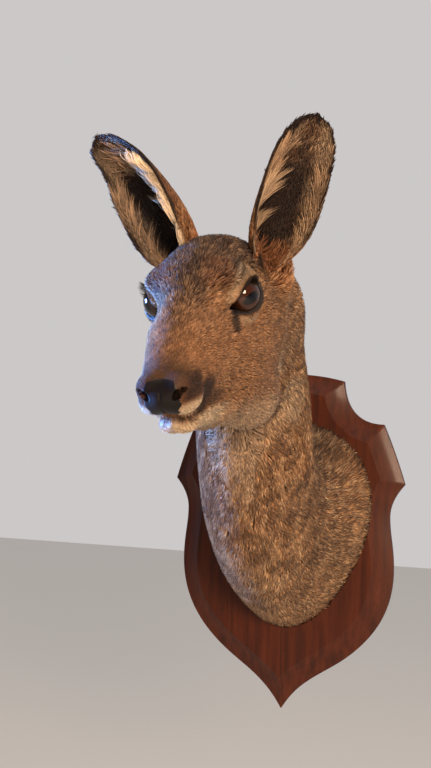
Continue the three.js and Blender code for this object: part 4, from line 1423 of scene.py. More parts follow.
@dataclass(frozen=True)
class Tufts:
    """How a kind of tuft grows: tapering locks of three flat sides that lie along the skin."""

    clump: float = 8  # size of a clump across the coat, millimetres
    drawn: float = 1.6  # its length over that
    pull: float = 0.35  # how far tips draw together in a clump
    stray: float = 0.22  # spread of the hair's direction, radians
    ragged: float = 0.35  # how much shorter than the coat's depth a tip may stand
    sink: float = 0.5  # how deep a root is set
    rise: float = 0.45  # thickness over width
    middle: float = 0.42  # where along the tuft its second section stands
    patch: float = 0.003  # size of a tuft on the bake map

    def clumped(self, roots: Roots) -> tuple[Array, Array]:
        """Gathers roots into clumps.

        Args:
            roots: the roots.

        Returns:
            The way from each root to its clump's middle, and a number from 0 to 1 for each clump.
        """
        size = (self.clump, self.clump * self.drawn)
        scaled = roots.place / size
        cell = np.floor(scaled)
        best = np.full(len(cell), np.inf)
        offset = np.zeros((len(cell), 2))
        number = np.zeros(len(cell))
        for step in np.ndindex(3, 3):
            near = cell + np.subtract(step, 1)
            jitter = np.stack([scatter(near, 1.0), scatter(near, 2.0)], axis=1)
            away = near + jitter - scaled
            distance = np.sum(away**2, axis=1)
            closer = distance < best
            best = np.where(closer, distance, best)
            offset = np.where(closer[:, None], away, offset)
            number = np.where(closer, scatter(near, 3.0), number)
        offset = offset * size
        way = offset[:, :1] * roots.round_ + offset[:, 1:] * roots.along
        return way, number

    def shell(self, roots: Roots, rng: np.random.Generator, outline: Outline | None = None) -> Shell:
        """Grows the tufts.

        Args:
            roots: where they grow.
            rng: the source of chance.
            outline: the field that tips end at, or none where depth alone sets their height.

        Returns:
            The tufts as one shell.
        """
        count = len(roots.at)
        gather, clump = self.clumped(roots)
        depth, length, width = (roots.coat[:, k : k + 1] for k in (Sized.DEPTH, Sized.LENGTH, Sized.WIDTH))
        angle = rng.normal(0, self.stray, (count, 1)) + (clump[:, None] - 0.5) * 3 * self.stray
        across = np.cross(roots.lie, roots.normal)
        way = unit(np.cos(angle) * roots.lie + np.sin(angle) * across)
        length = length * rng.uniform(0.7, 1.2, (count, 1))
        width = width * rng.uniform(0.75, 1.25, (count, 1))
        lifted = 1 - self.ragged * rng.random((count, 1)) * (0.4 + 0.6 * clump[:, None])
        bend = rng.normal(0, 0.08, (count, 1)) * length
        side = np.cross(roots.normal, way)
        root = roots.at - roots.normal * self.sink
        level = outline.distance(roots.at) if outline else np.zeros(count)
        spine = [root]
        for share, height in ((self.middle, 0.68), (1.0, 1.0)):
            ahead = way * length * share * (1 if share < 1 else 0.96)
            place = roots.at + ahead + side * bend * share**2 + gather * self.pull * share**1.5
            if outline is None:
                place = place + roots.normal * depth * lifted * height
            else:
                target = level + depth[:, 0] * lifted[:, 0] * height
                least = -(0.6 * depth + 0.012 * length**2)[:, 0] * height
                place = place + roots.normal * depth * height
                place = self.settled(place, roots.normal, target, least, outline)
            spine.append(place)
        tone = np.clip(0.55 * rng.random(count) + 0.45 * clump, 0, 1)
        return self.wrapped(spine, side, width, roots, tone)

    @staticmethod
    def settled(place: Array, normal: Array, target: Array, least: Array, outline: Outline) -> Array:
        """Moves points along a normal to a wanted level of the outline's field.

        Args:
            place: the points.
            normal: the way to move each.
            target: the wanted level.
            least: how far in each may move at most, so that none sinks under the skin.
            outline: the field.

        Returns:
            The moved points.
        """
        here = outline.distance(place)
        probe = 1.5
        slope = np.clip((outline.distance(place + normal * probe) - here) / probe, 0.35, 1.2)
        move = np.clip((target - here) / slope, least, 10)
        return place + normal * move[:, None]

    def wrapped(self, spine: list[Array], side: Array, width: Array, roots: Roots, tone: Array) -> Shell:
        """Puts three flat sides round each tuft's spine.

        Args:
            spine: root, middle and tip of each tuft.
            side: the way across each.
            width: each tuft's width.
            roots: the roots.
            tone: each tuft's own number.

        Returns:
            The shell: seven vertices and seven faces a tuft.
        """
        count = len(tone)
        rings = []
        for centre, share in ((spine[0], 1.0), (spine[1], 0.8)):
            for x, y in ((-0.5, 0.0), (0.5, 0.0), (0.0, self.rise)):
                rings.append(centre + side * width * x * share + roots.normal * width * y * share)
        points = np.stack([*rings, spine[2]], axis=1)
        quads = np.array([[0, 1, 4, 3], [1, 2, 5, 4], [2, 0, 3, 5]])
        caps = np.array([[3, 4, 6], [4, 5, 6], [5, 3, 6], [2, 1, 0]])
        pattern = np.concatenate([quads.ravel(), caps.ravel()])
        corners = (np.arange(count)[:, None] * 7 + pattern[None]).ravel()
        sizes = np.tile([4, 4, 4, 3, 3, 3, 3], count)
        low = self.middle
        quad_map = [[0, 0], [1, 0], [1, low], [0, low]]
        cap_map = [[0, low], [1, low], [0.5, 1]]
        foot_map = [[0, 0], [1, 0], [0.5, low]]
        layout = np.array(quad_map * 3 + cap_map * 3 + foot_map)
        sheet = (roots.sheet[:, None] * (1 - self.patch) + layout[None] * self.patch).reshape(-1, 2)
        strand = np.repeat(roots.place, len(pattern), axis=0)
        strand = np.concatenate([strand, np.zeros((len(strand), 1))], axis=1)
        reach = np.array([0, 0, 0, low, low, low, 1])
        grizzle = roots.coat[:, Sized.GRIZZLE, None]
        hair = np.stack(np.broadcast_arrays(tone[:, None], reach, grizzle, 0.0), axis=-1).reshape(-1, 4)
        marks = np.repeat(roots.marks, 7, axis=0)
        flat = points.reshape(-1, 3)
        return Shell(flat, corners, sizes, sheet, strand, marks, hair, np.zeros_like(flat))


# ---------------------------------------------------------------- finishes
Tree = bpy.types.ShaderNodeTree
Socket = bpy.types.NodeSocket
Sockets = bpy.types.bpy_prop_collection


class Blend(IntEnum):
    """Sockets of a colour mix node."""

    SHARE = 0
    FIRST = 6
    SECOND = 7
    RESULT = 2


def paint(code: str) -> tuple[float, float, float, float]:
    """An sRGB hex colour as linear values with full alpha."""
    values = [int(code[k : k + 2], 16) / 255 for k in (1, 3, 5)]
    linear = [v / 12.92 if v <= 0.04045 else ((v + 0.055) / 1.055) ** 2.4 for v in values]
    return (*linear, 1.0)


def feed(tree: Tree, node: bpy.types.Node, inputs: dict) -> None:
    """Sets a node's sockets.

    Args:
        tree: the node tree.
        node: the node.
        inputs: for each socket's name or number a value, or the socket that is linked to it.
    """
    for key, value in inputs.items():
        if isinstance(value, Socket):
            tree.links.new(value, node.inputs[key])
        else:
            node.inputs[key].default_value = value


def add(tree: Tree, kind: str, inputs: dict | None = None, **settings: str | bool) -> Sockets:
    """Adds a node with its settings and links.

    Args:
        tree: the node tree.
        kind: the node's type name, without its prefix ShaderNode.
        inputs: its sockets' values and links, as feed takes them.
        **settings: its properties by name.

    Returns:
        The node's outputs.
    """
    node = tree.nodes.new("ShaderNode" + kind)
    for key, value in settings.items():
        setattr(node, key, value)
    feed(tree, node, inputs or {})
    return node.outputs


def layered(tree: Tree, ground: tuple | Socket, *layers: tuple) -> Socket:
    """Lays colours over a ground, each by its share.

    Args:
        tree: the node tree.
        ground: the first colour.
        *layers: pairs of a share and a hex colour.

    Returns:
        The last mix's socket.
    """
    for share, code in layers:
        colours = {Blend.SHARE: share, Blend.FIRST: ground, Blend.SECOND: paint(code)}
        ground = add(tree, "Mix", colours, data_type="RGBA")[Blend.RESULT]
    return ground


def multiplied(tree: Tree, value: float | Socket, *ranges: dict) -> Socket:
    """Multiplies a value by several others.

    Args:
        tree: the node tree.
        value: what is multiplied.
        *ranges: for each factor the sockets of the node that brings it to its range.

    Returns:
        The product's socket.
    """
    for inputs in ranges:
        factor = add(tree, "MapRange", inputs)[0]
        value = add(tree, "Math", {0: value, 1: factor}, operation="MULTIPLY")[0]
    return value


def blank(name: str) -> tuple[bpy.types.Material, Tree, bpy.types.Node]:
    """A new material with an empty tree and a shader joined to its output.

    Args:
        name: the material's name.

    Returns:
        The material, its tree and its Principled shader.
    """
    made = bpy.data.materials.new(name)
    made.use_nodes = True
    tree = made.node_tree
    tree.nodes.clear()
    shader = tree.nodes.new("ShaderNodeBsdfPrincipled")
    add(tree, "OutputMaterial", {"Surface": shader.outputs["BSDF"]})
    return made, tree, shader


@dataclass(frozen=True)
class HairFinish:
    """Tanned roe skin with its winter hair: banded guard hairs, so every lock differs in tone.

    The banding gives the eye a warm grizzle on the neck and a finer, redder grain on the face.
    """

    name: str
    streaked: bool  # hair drawn in the surface, for skin that shows between tufts
    tan: str = "#a9794f"
    crown: str = "#543826"
    rust: str = "#87502c"
    # the marks also lay pale and dark as painted highlight and painted shade
    pale: str = "#e2c8a6"
    dark: str = "#23140c"
    leather: str = "#0e0d0f"
    tones: tuple[float, float] = (0.36, 1.55)  # how bright the darkest and the lightest locks are
    flecks: tuple[tuple, ...] = (  # tips of certain locks: colour, tones and reach where it sets in
        ("#4a3425", (0.5, 0.15), (0.35, 0.95)),
        ("#dcb98f", (0.45, 0.9), (0.15, 0.6)),
    )
    streak_mm: tuple[float, float] = (0.75, 7.0)  # hairs are finer: drawn this coarse to show
    relief_mm: float = 0.5
    patch_mm: float = 12
    roughness: float = 0.62

    def material(self) -> bpy.types.Material:
        """Builds the material.

        Returns:
            The material, which reads the marks and hair attributes.
        """
        made, tree, shader = blank(self.name)
        marks = add(tree, "Attribute", attribute_name="marks")
        hair = add(tree, "Attribute", attribute_name="hair")
        share = add(tree, "SeparateColor", {0: marks["Color"]})
        each = add(tree, "SeparateColor", {0: hair["Color"]})
        tone, reach, grizzle = each[0], each[1], each[2]
        unmarked = add(tree, "Math", {0: 1.0, 1: share[1]}, operation="SUBTRACT", use_clamp=True)[0]
        grizzle = add(tree, "Math", {0: grizzle, 1: unmarked}, operation="MULTIPLY")[0]
        layers = ((marks["Alpha"], self.crown), (share[2], self.rust), (share[0], self.pale))
        colour = layered(tree, paint(self.tan), *layers, (share[1], self.dark))
        where = add(tree, "TexCoord")["Object"]
        patches = add(tree, "TexNoise", {"Vector": where, "Scale": 1 / (self.patch_mm * MM), "Detail": 3.0})
        fine = self.streaks(tree)
        shade = multiplied(
            tree,
            1.0,
            {"Value": tone, "To Min": self.tones[0], "To Max": self.tones[1]},
            # darker towards the root: the hair's grey base, and on the skin painted shade between the tufts
            {"Value": reach, "From Max": 0.7, "To Min": 0.5, "To Max": 1.0},
            {"Value": patches[0], "From Min": 0.3, "From Max": 0.7, "To Min": 0.78, "To Max": 1.18},
        )
        if self.streaked:
            shade = add(tree, "Math", {0: fine, 1: 0.5, 2: shade}, operation="MULTIPLY_ADD")[0]
        lit = add(tree, "VectorMath", {0: colour, "Scale": shade}, operation="SCALE")[0]
        tips = []
        for code, tones, reaches in self.flecks:
            locks = {"Value": tone, "From Min": tones[0], "From Max": tones[1]}
            tip = {"Value": reach, "From Min": reaches[0], "From Max": reaches[1], "To Max": 0.85}
            tips.append((multiplied(tree, grizzle, locks, tip), code))
        colour = layered(tree, lit, *tips, (hair["Alpha"], self.leather))
        rough = add(tree, "MapRange", {"Value": hair["Alpha"], "To Min": self.roughness, "To Max": 0.34})[0]
        feed(tree, shader, {"Base Color": colour, "Roughness": rough, "Specular IOR Level": 0.28})
        feed(tree, shader, {"Sheen Weight": 0.03, "Sheen Roughness": 0.4})
        if self.streaked:
            bump = add(tree, "Bump", {"Height": fine, "Strength": 0.55, "Distance": self.relief_mm * MM})
            feed(tree, shader, {"Normal": bump[0]})
        return made

    def streaks(self, tree: Tree) -> Socket:
        """Hair streaks along the coat's lie, as a height from 0 to 1."""
        strand = add(tree, "Attribute", attribute_name="strand")
        scale = (1 / self.streak_mm[0], 1 / self.streak_mm[1], 1.0)
        run = add(tree, "VectorMath", {0: strand["Vector"], 1: scale}, operation="MULTIPLY")
        noise = add(tree, "TexNoise", {"Vector": run[0], "Scale": 1.0, "Detail": 2.0})
        return noise[0]


@dataclass(frozen=True)
class NoseLeather:
    """Black pebbled nose leather under a thin lacquer, as a taxidermist finishes it.

    The pebbling breaks the lacquer's shine into small grains; the lacquer keeps it wet-looking.
    """

    name: str = "lacquered_nose_leather"
    black: str = "#060607"
    worn: str = "#100e11"
    brown: str = "#1c100b"
    pebble_mm: float = 1.3
    pebble_depth_mm: float = 0.35
    cloud_mm: float = 6
    roughness: float = 0.46

    def material(self) -> bpy.types.Material:
        """Builds the material."""
        made, tree, shader = blank(self.name)
        where = add(tree, "TexCoord")["Object"]
        pebbles = add(tree, "TexVoronoi", {"Vector": where, "Scale": 1 / (self.pebble_mm * MM)}, feature="F1")
        cloud = add(tree, "TexNoise", {"Vector": where, "Scale": 1 / (self.cloud_mm * MM), "Detail": 4.0})
        marks = add(tree, "Attribute", attribute_name="marks")
        rust = add(tree, "SeparateColor", {0: marks["Color"]})[2]
        colour = layered(tree, paint(self.black), (cloud[0], self.worn), (rust, self.brown))
        grain = {"Height": pebbles["Distance"], "Strength": 0.5, "Distance": self.pebble_depth_mm * MM}
        bump = add(tree, "Bump", grain, invert=True)
        feed(tree, shader, {"Base Color": colour, "Roughness": self.roughness, "Normal": bump[0]})
        feed(tree, shader, {"Specular IOR Level": 0.15, "Coat Weight": 0.07, "Coat Roughness": 0.2})
        return made


@dataclass(frozen=True)
class EyeGlass:
    """A cast glass eye with a dark brown iris and a slotted pupil fired behind a clear polish.

    The polish gives one hard highlight, and the iris shows faint spokes round the pupil.
    """

    name: str = "fired_glass_eye"
    white: str = "#150c08"
    outer: str = "#150a05"
    iris: str = "#2b140a"
    lit: str = "#3f2010"
    pupil: str = "#040405"
    turned: tuple[float, float] = (0.2, 0.02)  # how far the iris looks forward, in ball radii
    slot: tuple[float, float] = (0.46, 0.27)  # half axes of the pupil, in ball radii
    roughness: float = 0.05
    ior: float = 1.52

    def material(self) -> bpy.types.Material:
        """Builds the material, which reads places on the ball as shares of its radius."""
        made, tree, shader = blank(self.name)
        place = add(tree, "Attribute", attribute_name="ball")
        axes = add(tree, "SeparateXYZ", {0: place["Vector"]})
        flat = add(tree, "CombineXYZ", {0: axes[0], 1: axes[1]})[0]
        flat = add(tree, "VectorMath", {0: flat, 1: (*self.turned, 0)}, operation="SUBTRACT")[0]
        away = add(tree, "VectorMath", {0: flat}, operation="LENGTH")["Value"]
        stretch = (1 / self.slot[0], 1 / self.slot[1], 0)
        wide = add(tree, "VectorMath", {0: flat, 1: stretch}, operation="MULTIPLY")[0]
        across = add(tree, "VectorMath", {0: wide}, operation="LENGTH")["Value"]
        spoke = add(tree, "VectorMath", {0: flat}, operation="NORMALIZE")[0]
        fibres = add(tree, "TexNoise", {"Vector": spoke, "Scale": 9.0, "Detail": 3.0})[0]
        layers = [(fibres, self.lit)]
        edges = (
            (away, 0.52, 0.8, self.outer),
            (away, 0.8, 0.9, self.white),
            (across, 1.12, 0.92, self.pupil),
        )
        for value, start, full, code in edges:
            spread = {"Value": value, "From Min": start, "From Max": full}
            layers.append((add(tree, "MapRange", spread, interpolation_type="SMOOTHSTEP")[0], code))
        colour = layered(tree, paint(self.iris), *layers)
        feed(tree, shader, {"Base Color": colour, "Roughness": self.roughness, "IOR": self.ior})
        feed(tree, shader, {"Specular IOR Level": 0.25, "Coat Weight": 0.25, "Coat Roughness": 0.02})
        return made


@dataclass(frozen=True)
class VarnishedMahogany:
    """Straight-grained mahogany, stained red-brown, sanded and brushed with gloss varnish.

    Fine dark pores run up the board under a clear film with faint brush waves.
    """

    name: str = "stained_varnished_mahogany"
    light: str = "#50220d"
    deep: str = "#331306"
    pore: str = "#1d0b04"
    joint: str = "#1a0a05"
    figure_mm: tuple[float, float] = (7.0, 150.0)
    pore_mm: tuple[float, float] = (0.9, 16.0)  # real pores are finer: drawn this coarse to show
    wander_mm: tuple[float, float] = (110, 14)  # size and reach of the grain's wandering
    joint_at: float = 3.0  # x of the glued joint, millimetres
    joint_mm: float = 0.9  # its half width
    brush_mm: float = 9
    relief_mm: float = 0.5
    roughness: float = 0.52

    def material(self) -> bpy.types.Material:
        """Builds the material in the part's own coordinates, with the grain up the board."""
        made, tree, shader = blank(self.name)
        where = add(tree, "TexCoord")["Object"]
        size, reach = (v * MM for v in self.wander_mm)
        wander = add(tree, "TexNoise", {"Vector": where, "Scale": 1 / size, "Detail": 2.0})
        drift = add(tree, "VectorMath", {0: wander["Color"], "Scale": reach}, operation="SCALE")
        bent = add(tree, "VectorMath", {0: where, 1: drift[0]}, operation="ADD")[0]
        grain = []
        for (across, length), detail in ((self.figure_mm, 4.0), (self.pore_mm, 2.0)):
            scale = (1 / (across * MM), 1 / (across * MM), 1 / (length * MM))
            run = add(tree, "VectorMath", {0: bent, 1: scale}, operation="MULTIPLY")
            grain.append(add(tree, "TexNoise", {"Vector": run[0], "Scale": 1.0, "Detail": detail})[0])
        band = add(tree, "MapRange", {"Value": grain[0], "From Min": 0.3, "From Max": 0.72})
        pit = add(tree, "MapRange", {"Value": grain[1], "From Min": 0.6, "From Max": 0.74, "To Max": 0.75})
        split = add(tree, "SeparateXYZ", {0: where})
        off = add(tree, "Math", {0: split[0], 1: self.joint_at * MM}, operation="SUBTRACT")
        gap = add(tree, "Math", {0: off[0]}, operation="ABSOLUTE")
        edge = {"Value": gap[0], "From Min": self.joint_mm * MM, "From Max": 0.25 * MM, "To Max": 0.6}
        seam = add(tree, "MapRange", edge)
        layers = ((band[0], self.deep), (pit[0], self.pore), (seam[0], self.joint))
        colour = layered(tree, paint(self.light), *layers)
        waves = add(tree, "TexNoise", {"Vector": where, "Scale": 1 / (self.brush_mm * MM), "Detail": 1.0})
        height = add(tree, "Math", {0: pit[0], 1: -0.6, 2: waves[0]}, operation="MULTIPLY_ADD")
        bump = add(tree, "Bump", {"Height": height[0], "Strength": 0.12, "Distance": self.relief_mm * MM})
        film = {"Value": wander[0], "To Min": self.roughness - 0.06, "To Max": self.roughness + 0.1}
        rough = add(tree, "MapRange", film)
        feed(tree, shader, {"Base Color": colour, "Roughness": rough[0], "Normal": bump[0]})
        feed(tree, shader, {"Specular IOR Level": 0.18, "Coat Weight": 0.1, "Coat Roughness": 0.16})
        return made


@dataclass(frozen=True)
class RolledBrass:
    """Rolled brass sheet left to dull in air: a soft gold with brown tarnish in clouds."""

    name: str = "dulled_rolled_brass"
    bright: str = "#b59a5a"
    tarnish: str = "#5e4522"
    cloud_mm: float = 5.0
    rolling_mm: tuple[float, float] = (12.0, 0.5)
    groove_mm: float = 0.1
    roughness: float = 0.34

    def material(self) -> bpy.types.Material:
        """Builds the material."""
        made, tree, shader = blank(self.name)
        where = add(tree, "TexCoord")["Object"]
        cloud = add(tree, "TexNoise", {"Vector": where, "Scale": 1 / (self.cloud_mm * MM), "Detail": 5.0})
        run = tuple(1 / (v * MM) for v in (self.rolling_mm[0], self.rolling_mm[1], self.rolling_mm[1]))
        lines = add(tree, "VectorMath", {0: where, 1: run}, operation="MULTIPLY")
        rolled = add(tree, "TexNoise", {"Vector": lines[0], "Scale": 1.0, "Detail": 2.0})
        share = add(tree, "MapRange", {"Value": cloud[0], "From Min": 0.45, "From Max": 0.75})
        colour = layered(tree, paint(self.bright), (share[0], self.tarnish))
        worn = {"Value": rolled[0], "To Min": self.roughness - 0.1, "To Max": self.roughness + 0.15}
        rough = add(tree, "MapRange", worn)
        bump = add(tree, "Bump", {"Height": rolled[0], "Strength": 0.2, "Distance": self.groove_mm * MM})
        feed(tree, shader, {"Base Color": colour, "Metallic": 1.0, "Roughness": rough[0], "Normal": bump[0]})
        return made


# ---------------------------------------------------------------- the glass eyes
@dataclass
class GlassEye:
    """A polished ball whose pole looks out between the lids."""

    socket: EyeSocket
    columns: int = 96
    rows: int = 64

    def build(self, name: str, node: str, material: bpy.types.Material) -> None:
        """Makes the ball and stands it in for its solid.

        Args:
            name: the piece's name.
            node: the solid that it replaces.
            material: its finish.
        """
        polar = np.linspace(0, math.pi, self.rows + 1)[1:-1, None]
        turn = np.linspace(0, 2 * math.pi, self.columns, endpoint=False)[None]
        grid = [np.sin(polar) * np.cos(turn), np.sin(polar) * np.sin(turn), np.cos(polar) + 0 * turn]
        flat = np.stack(grid, axis=-1).reshape(-1, 3)
        places = np.vstack([flat, [[0, 0, 1], [0, 0, -1]]])
        points = self.socket.centre() + places * self.socket.radius @ self.socket.axes()
        faces = []
        count = self.columns
        top, bottom = len(flat), len(flat) + 1
        last = (self.rows - 2) * count
        for k in range(count):
            after = (k + 1) % count
            faces.append((k, after, top))
            faces.append((last + after, last + k, bottom))
            for row in range(self.rows - 2):
                a = row * count
                faces.append((a + k, a + count + k, a + count + after, a + after))
        if self.socket.sign < 0:
            faces = [face[::-1] for face in faces]
        mesh = bpy.data.meshes.new(name)
        mesh.from_pydata((points * MM).tolist(), [], faces)
        mesh.polygons.foreach_set("use_smooth", np.ones(len(faces), bool))
        attach(mesh, "ball", "POINT", places)
        mesh.materials.append(material)
        made = put(name, mesh)
        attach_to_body(made, "root")
        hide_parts(node)


@dataclass
class Strands:
    """Long fine locks, each a three-sided spike along its own curve."""

    paths: Array  # strand, step, place
    facing: Array  # the way every strand's ridge faces
    width: Array
    marks: tuple[float, ...]
    sheet: Array
    tone: Array
    grizzle: float = 0.0
    patch: float = 0.003

    def shell(self) -> Shell:
        """Puts three sides round every strand.

        Returns:
            The strands as one shell.
        """
        count, steps = self.paths.shape[:2]
        way = np.gradient(self.paths, axis=1)
        side = unit(np.cross(self.facing, way))
        rise = unit(np.cross(way, side))
        share = np.linspace(0, 1, steps)[None, :-1, None]
        size = self.width[:, None, None] * (1 - 0.85 * share**1.5) / 2
        corners = ((-1, -0.5), (1, -0.5), (0, 0.9))
        rings = [self.paths[:, :-1] + size * (side[:, :-1] * x + rise[:, :-1] * y) for x, y in corners]
        body = np.stack(rings, axis=2).reshape(count, -1, 3)
        points = np.concatenate([body, self.paths[:, -1:]], axis=1)
        per = points.shape[1]
        pairs = ((0, 1), (1, 2), (2, 0))
        firsts = range(0, 3 * (steps - 2), 3)
        quads = [[k + a, k + b, k + 3 + b, k + 3 + a] for k in firsts for a, b in pairs]
        caps = [[per - 4 + a, per - 4 + b, per - 1] for a, b in pairs] + [[2, 1, 0]]
        pattern = np.concatenate([np.ravel(quads), np.ravel(caps)])
        numbers = (np.arange(count)[:, None] * per + pattern).ravel()
        sizes = np.tile([4] * len(quads) + [3] * len(caps), count)
        level = np.concatenate([np.repeat(np.arange(steps - 1), 3), [steps - 1]]) / (steps - 1)
        wide = np.concatenate([np.tile([0, 1, 0], steps - 1), [0.5]])
        spread = np.stack([wide, level], axis=1)[pattern]
        spread[-3:] = ((0, 0), (1, 0), (0.5, 0.3))
        for k in range(steps - 2):
            spread[12 * k + 8 : 12 * k + 12, 0] = (0, 1, 1, 0)
        sheet = self.sheet[:, None] * (1 - self.patch) + spread * self.patch
        hair = np.stack(np.broadcast_arrays(self.tone[:, None], level, self.grizzle, 0.0), axis=-1)
        marks = np.tile(self.marks, (count * per, 1))
        flat = points.reshape(-1, 3)
        strand = np.zeros((len(numbers), 3))
        tail = (sheet.reshape(-1, 2), strand, marks, hair.reshape(-1, 4), np.zeros_like(flat))
        return Shell(flat, numbers, sizes, *tail)


BLACK = (0.0, 1.0, 0.0, 0.0)  # shares of pale, dark, rust and crown
WHITE = (1.0, 0.0, 0.0, 0.0)
CREAM = (0.5, 0.0, 0.0, 0.6)
BUFF = (0.3, 0.0, 0.1, 0.6)
RUST = (0.0, 0.1, 0.85, 0.2)
BROWN = (0.0, 0.75, 0.1, 0.3)


@dataclass
class Lashes:
    """Stiff black lashes along an upper lid."""

    socket: EyeSocket
    lids: Surface
    count: int = 60
    length: float = 9.0
    width: float = 0.45
    row: int = 7  # of the lids' surface, on the lid's edge
    first: float = 0.14  # where they start and end, as shares of the turn round the eye
    last: float = 0.46
    steps: int = 6

    def shell(self, rng: np.random.Generator) -> Shell:
        """Grows the lashes.

        Args:
            rng: the source of chance.

        Returns:
            Thin spikes that curl up and out.
        """
        along, up, out = self.socket.axes()
        columns = self.lids.points.shape[1] - 1
        share = np.linspace(self.first, self.last, self.count) + rng.normal(0, 0.002, self.count)
        column = np.round(share * columns).astype(int)
        root = self.lids.points[self.row, column]
        angle = share[:, None] * 2 * math.pi
        fan = unit(out * 0.95 + up * (0.15 + 0.25 * np.sin(angle)) + along * 0.55 * np.cos(angle))
        fan = unit(fan + rng.normal(0, 0.08, (self.count, 3)))
        length = self.length * rng.uniform(0.6, 1.0, (self.count, 1)) * (0.5 + 0.5 * np.sin(angle))
        t = np.linspace(0, 1, self.steps)[None, :, None]
        paths = root[:, None] + length[:, None] * (fan[:, None] * t + up * 0.4 * t * t)
        sheet = np.stack([share, rng.random(self.count)], axis=1)
        width, tone = np.full(self.count, self.width), np.full(self.count, 0.5)
        return Strands(paths, up, width, BLACK, sheet, tone).shell()


@dataclass(frozen=True)
class Lock:
    """A lock of hair in an ear's cup: where it grows, where it sweeps to and its colour."""

    count: int
    along: tuple[float, float]  # roots, as shares of the ear's length
    across: tuple[float, float]  # roots, -1 at the outer edge and 1 at the edge nearer the crown
    climb: float  # how far up it sweeps, as a share of the ear's length
    sweep: float  # how far across, towards the outer edge where negative
    lift: float  # how far it stands off the cup, millimetres
    marks: tuple[float, float, float, float]


LEFT_LOCKS = (
    Lock(300, (0.36, 0.5), (0.66, 0.94), 0.2, -0.5, 7, CREAM),
    Lock(200, (0.16, 0.3), (0.62, 0.94), 0.16, -0.36, 8, CREAM),
    Lock(200, (0.52, 0.72), (0.5, 0.9), 0.16, -0.2, 4, BUFF),
    Lock(320, (0.04, 0.16), (-0.8, 0.8), 0.12, -0.1, 6, RUST),
    Lock(170, (0.12, 0.62), (-0.92, -0.6), 0.14, 0.05, 3, BUFF),
)
RIGHT_LOCKS = (
    Lock(700, (0.22, 0.68), (0.4, 0.98), 0.15, -0.34, 13, WHITE),
    Lock(260, (0.7, 0.86), (-0.3, 0.62), 0.08, -0.3, 3, BUFF),
    Lock(160, (0.6, 0.72), (0.8, 1.0), 0.1, 0.05, 10, WHITE),
    Lock(300, (0.08, 0.34), (0.45, 0.95), 0.14, -0.3, 9, BUFF),
    Lock(260, (0.04, 0.14), (-0.8, 0.8), 0.12, -0.1, 5, BROWN),
    Lock(170, (0.12, 0.66), (-0.92, -0.6), 0.13, 0.08, 3, BUFF),
)


@dataclass
class InnerHair:
    """The long soft hair inside an ear."""

    ear: Ear
    locks: tuple[Lock, ...]
    steps: int = 7
    width: float = 0.75

    def shell(self, rng: np.random.Generator) -> Shell:
        """Grows every lock.

        Args:
            rng: the source of chance.

        Returns:
            The hair as one shell.
        """
        facing = self.ear.frame()[2]
        grown = []
        for lock in self.locks:
            s0 = rng.uniform(*lock.along, lock.count)
            m0 = rng.uniform(*lock.across, lock.count)
            group = np.floor(s0 * 26) + 31 * np.floor(m0 * 5)
            drift = scatter(np.stack([group, group * 0.5], axis=1), 4.0) - 0.5
            part = rng.uniform(0.7, 1.15, lock.count)
            t = np.linspace(0, 1, self.steps)[None]
            bent = t + 0.25 * np.sin(math.pi * t) * (drift + 0.4)[:, None]
            s = s0[:, None] + lock.climb * part[:, None] * bent + 0.05 * drift[:, None] * t
            s = np.clip(s, 0.02, 0.99)
            m = m0[:, None] + (lock.sweep + 0.7 * drift[:, None]) * part[:, None] * t**1.25
            m = np.clip(m, -1.02, 1.05)
            height = lock.lift * np.sin(math.pi * np.clip(0.12 + 0.8 * t, 0, 1)) * part[:, None]
            height = height * rng.uniform(0.4, 1.1, (lock.count, 1)) + 0.3
            paths = self.ear.place(s, -self.ear.shape.sign * m, np.full_like(s, -1.0))
            paths = paths + height[..., None] * facing
            tone = np.clip(0.5 * rng.random(lock.count) + 0.5 * (drift + 0.5), 0, 1)
            width = self.width * rng.uniform(0.6, 1.2, lock.count)
            sheet = np.stack([m0 / 2 + 0.5, s0], axis=1)
            grown.append(Strands(paths, facing, width, lock.marks, sheet, tone, 0.3).shell())
        return Shell.joined(grown)


# ---------------------------------------------------------------- the shield
Curve = list[tuple[float, float]]


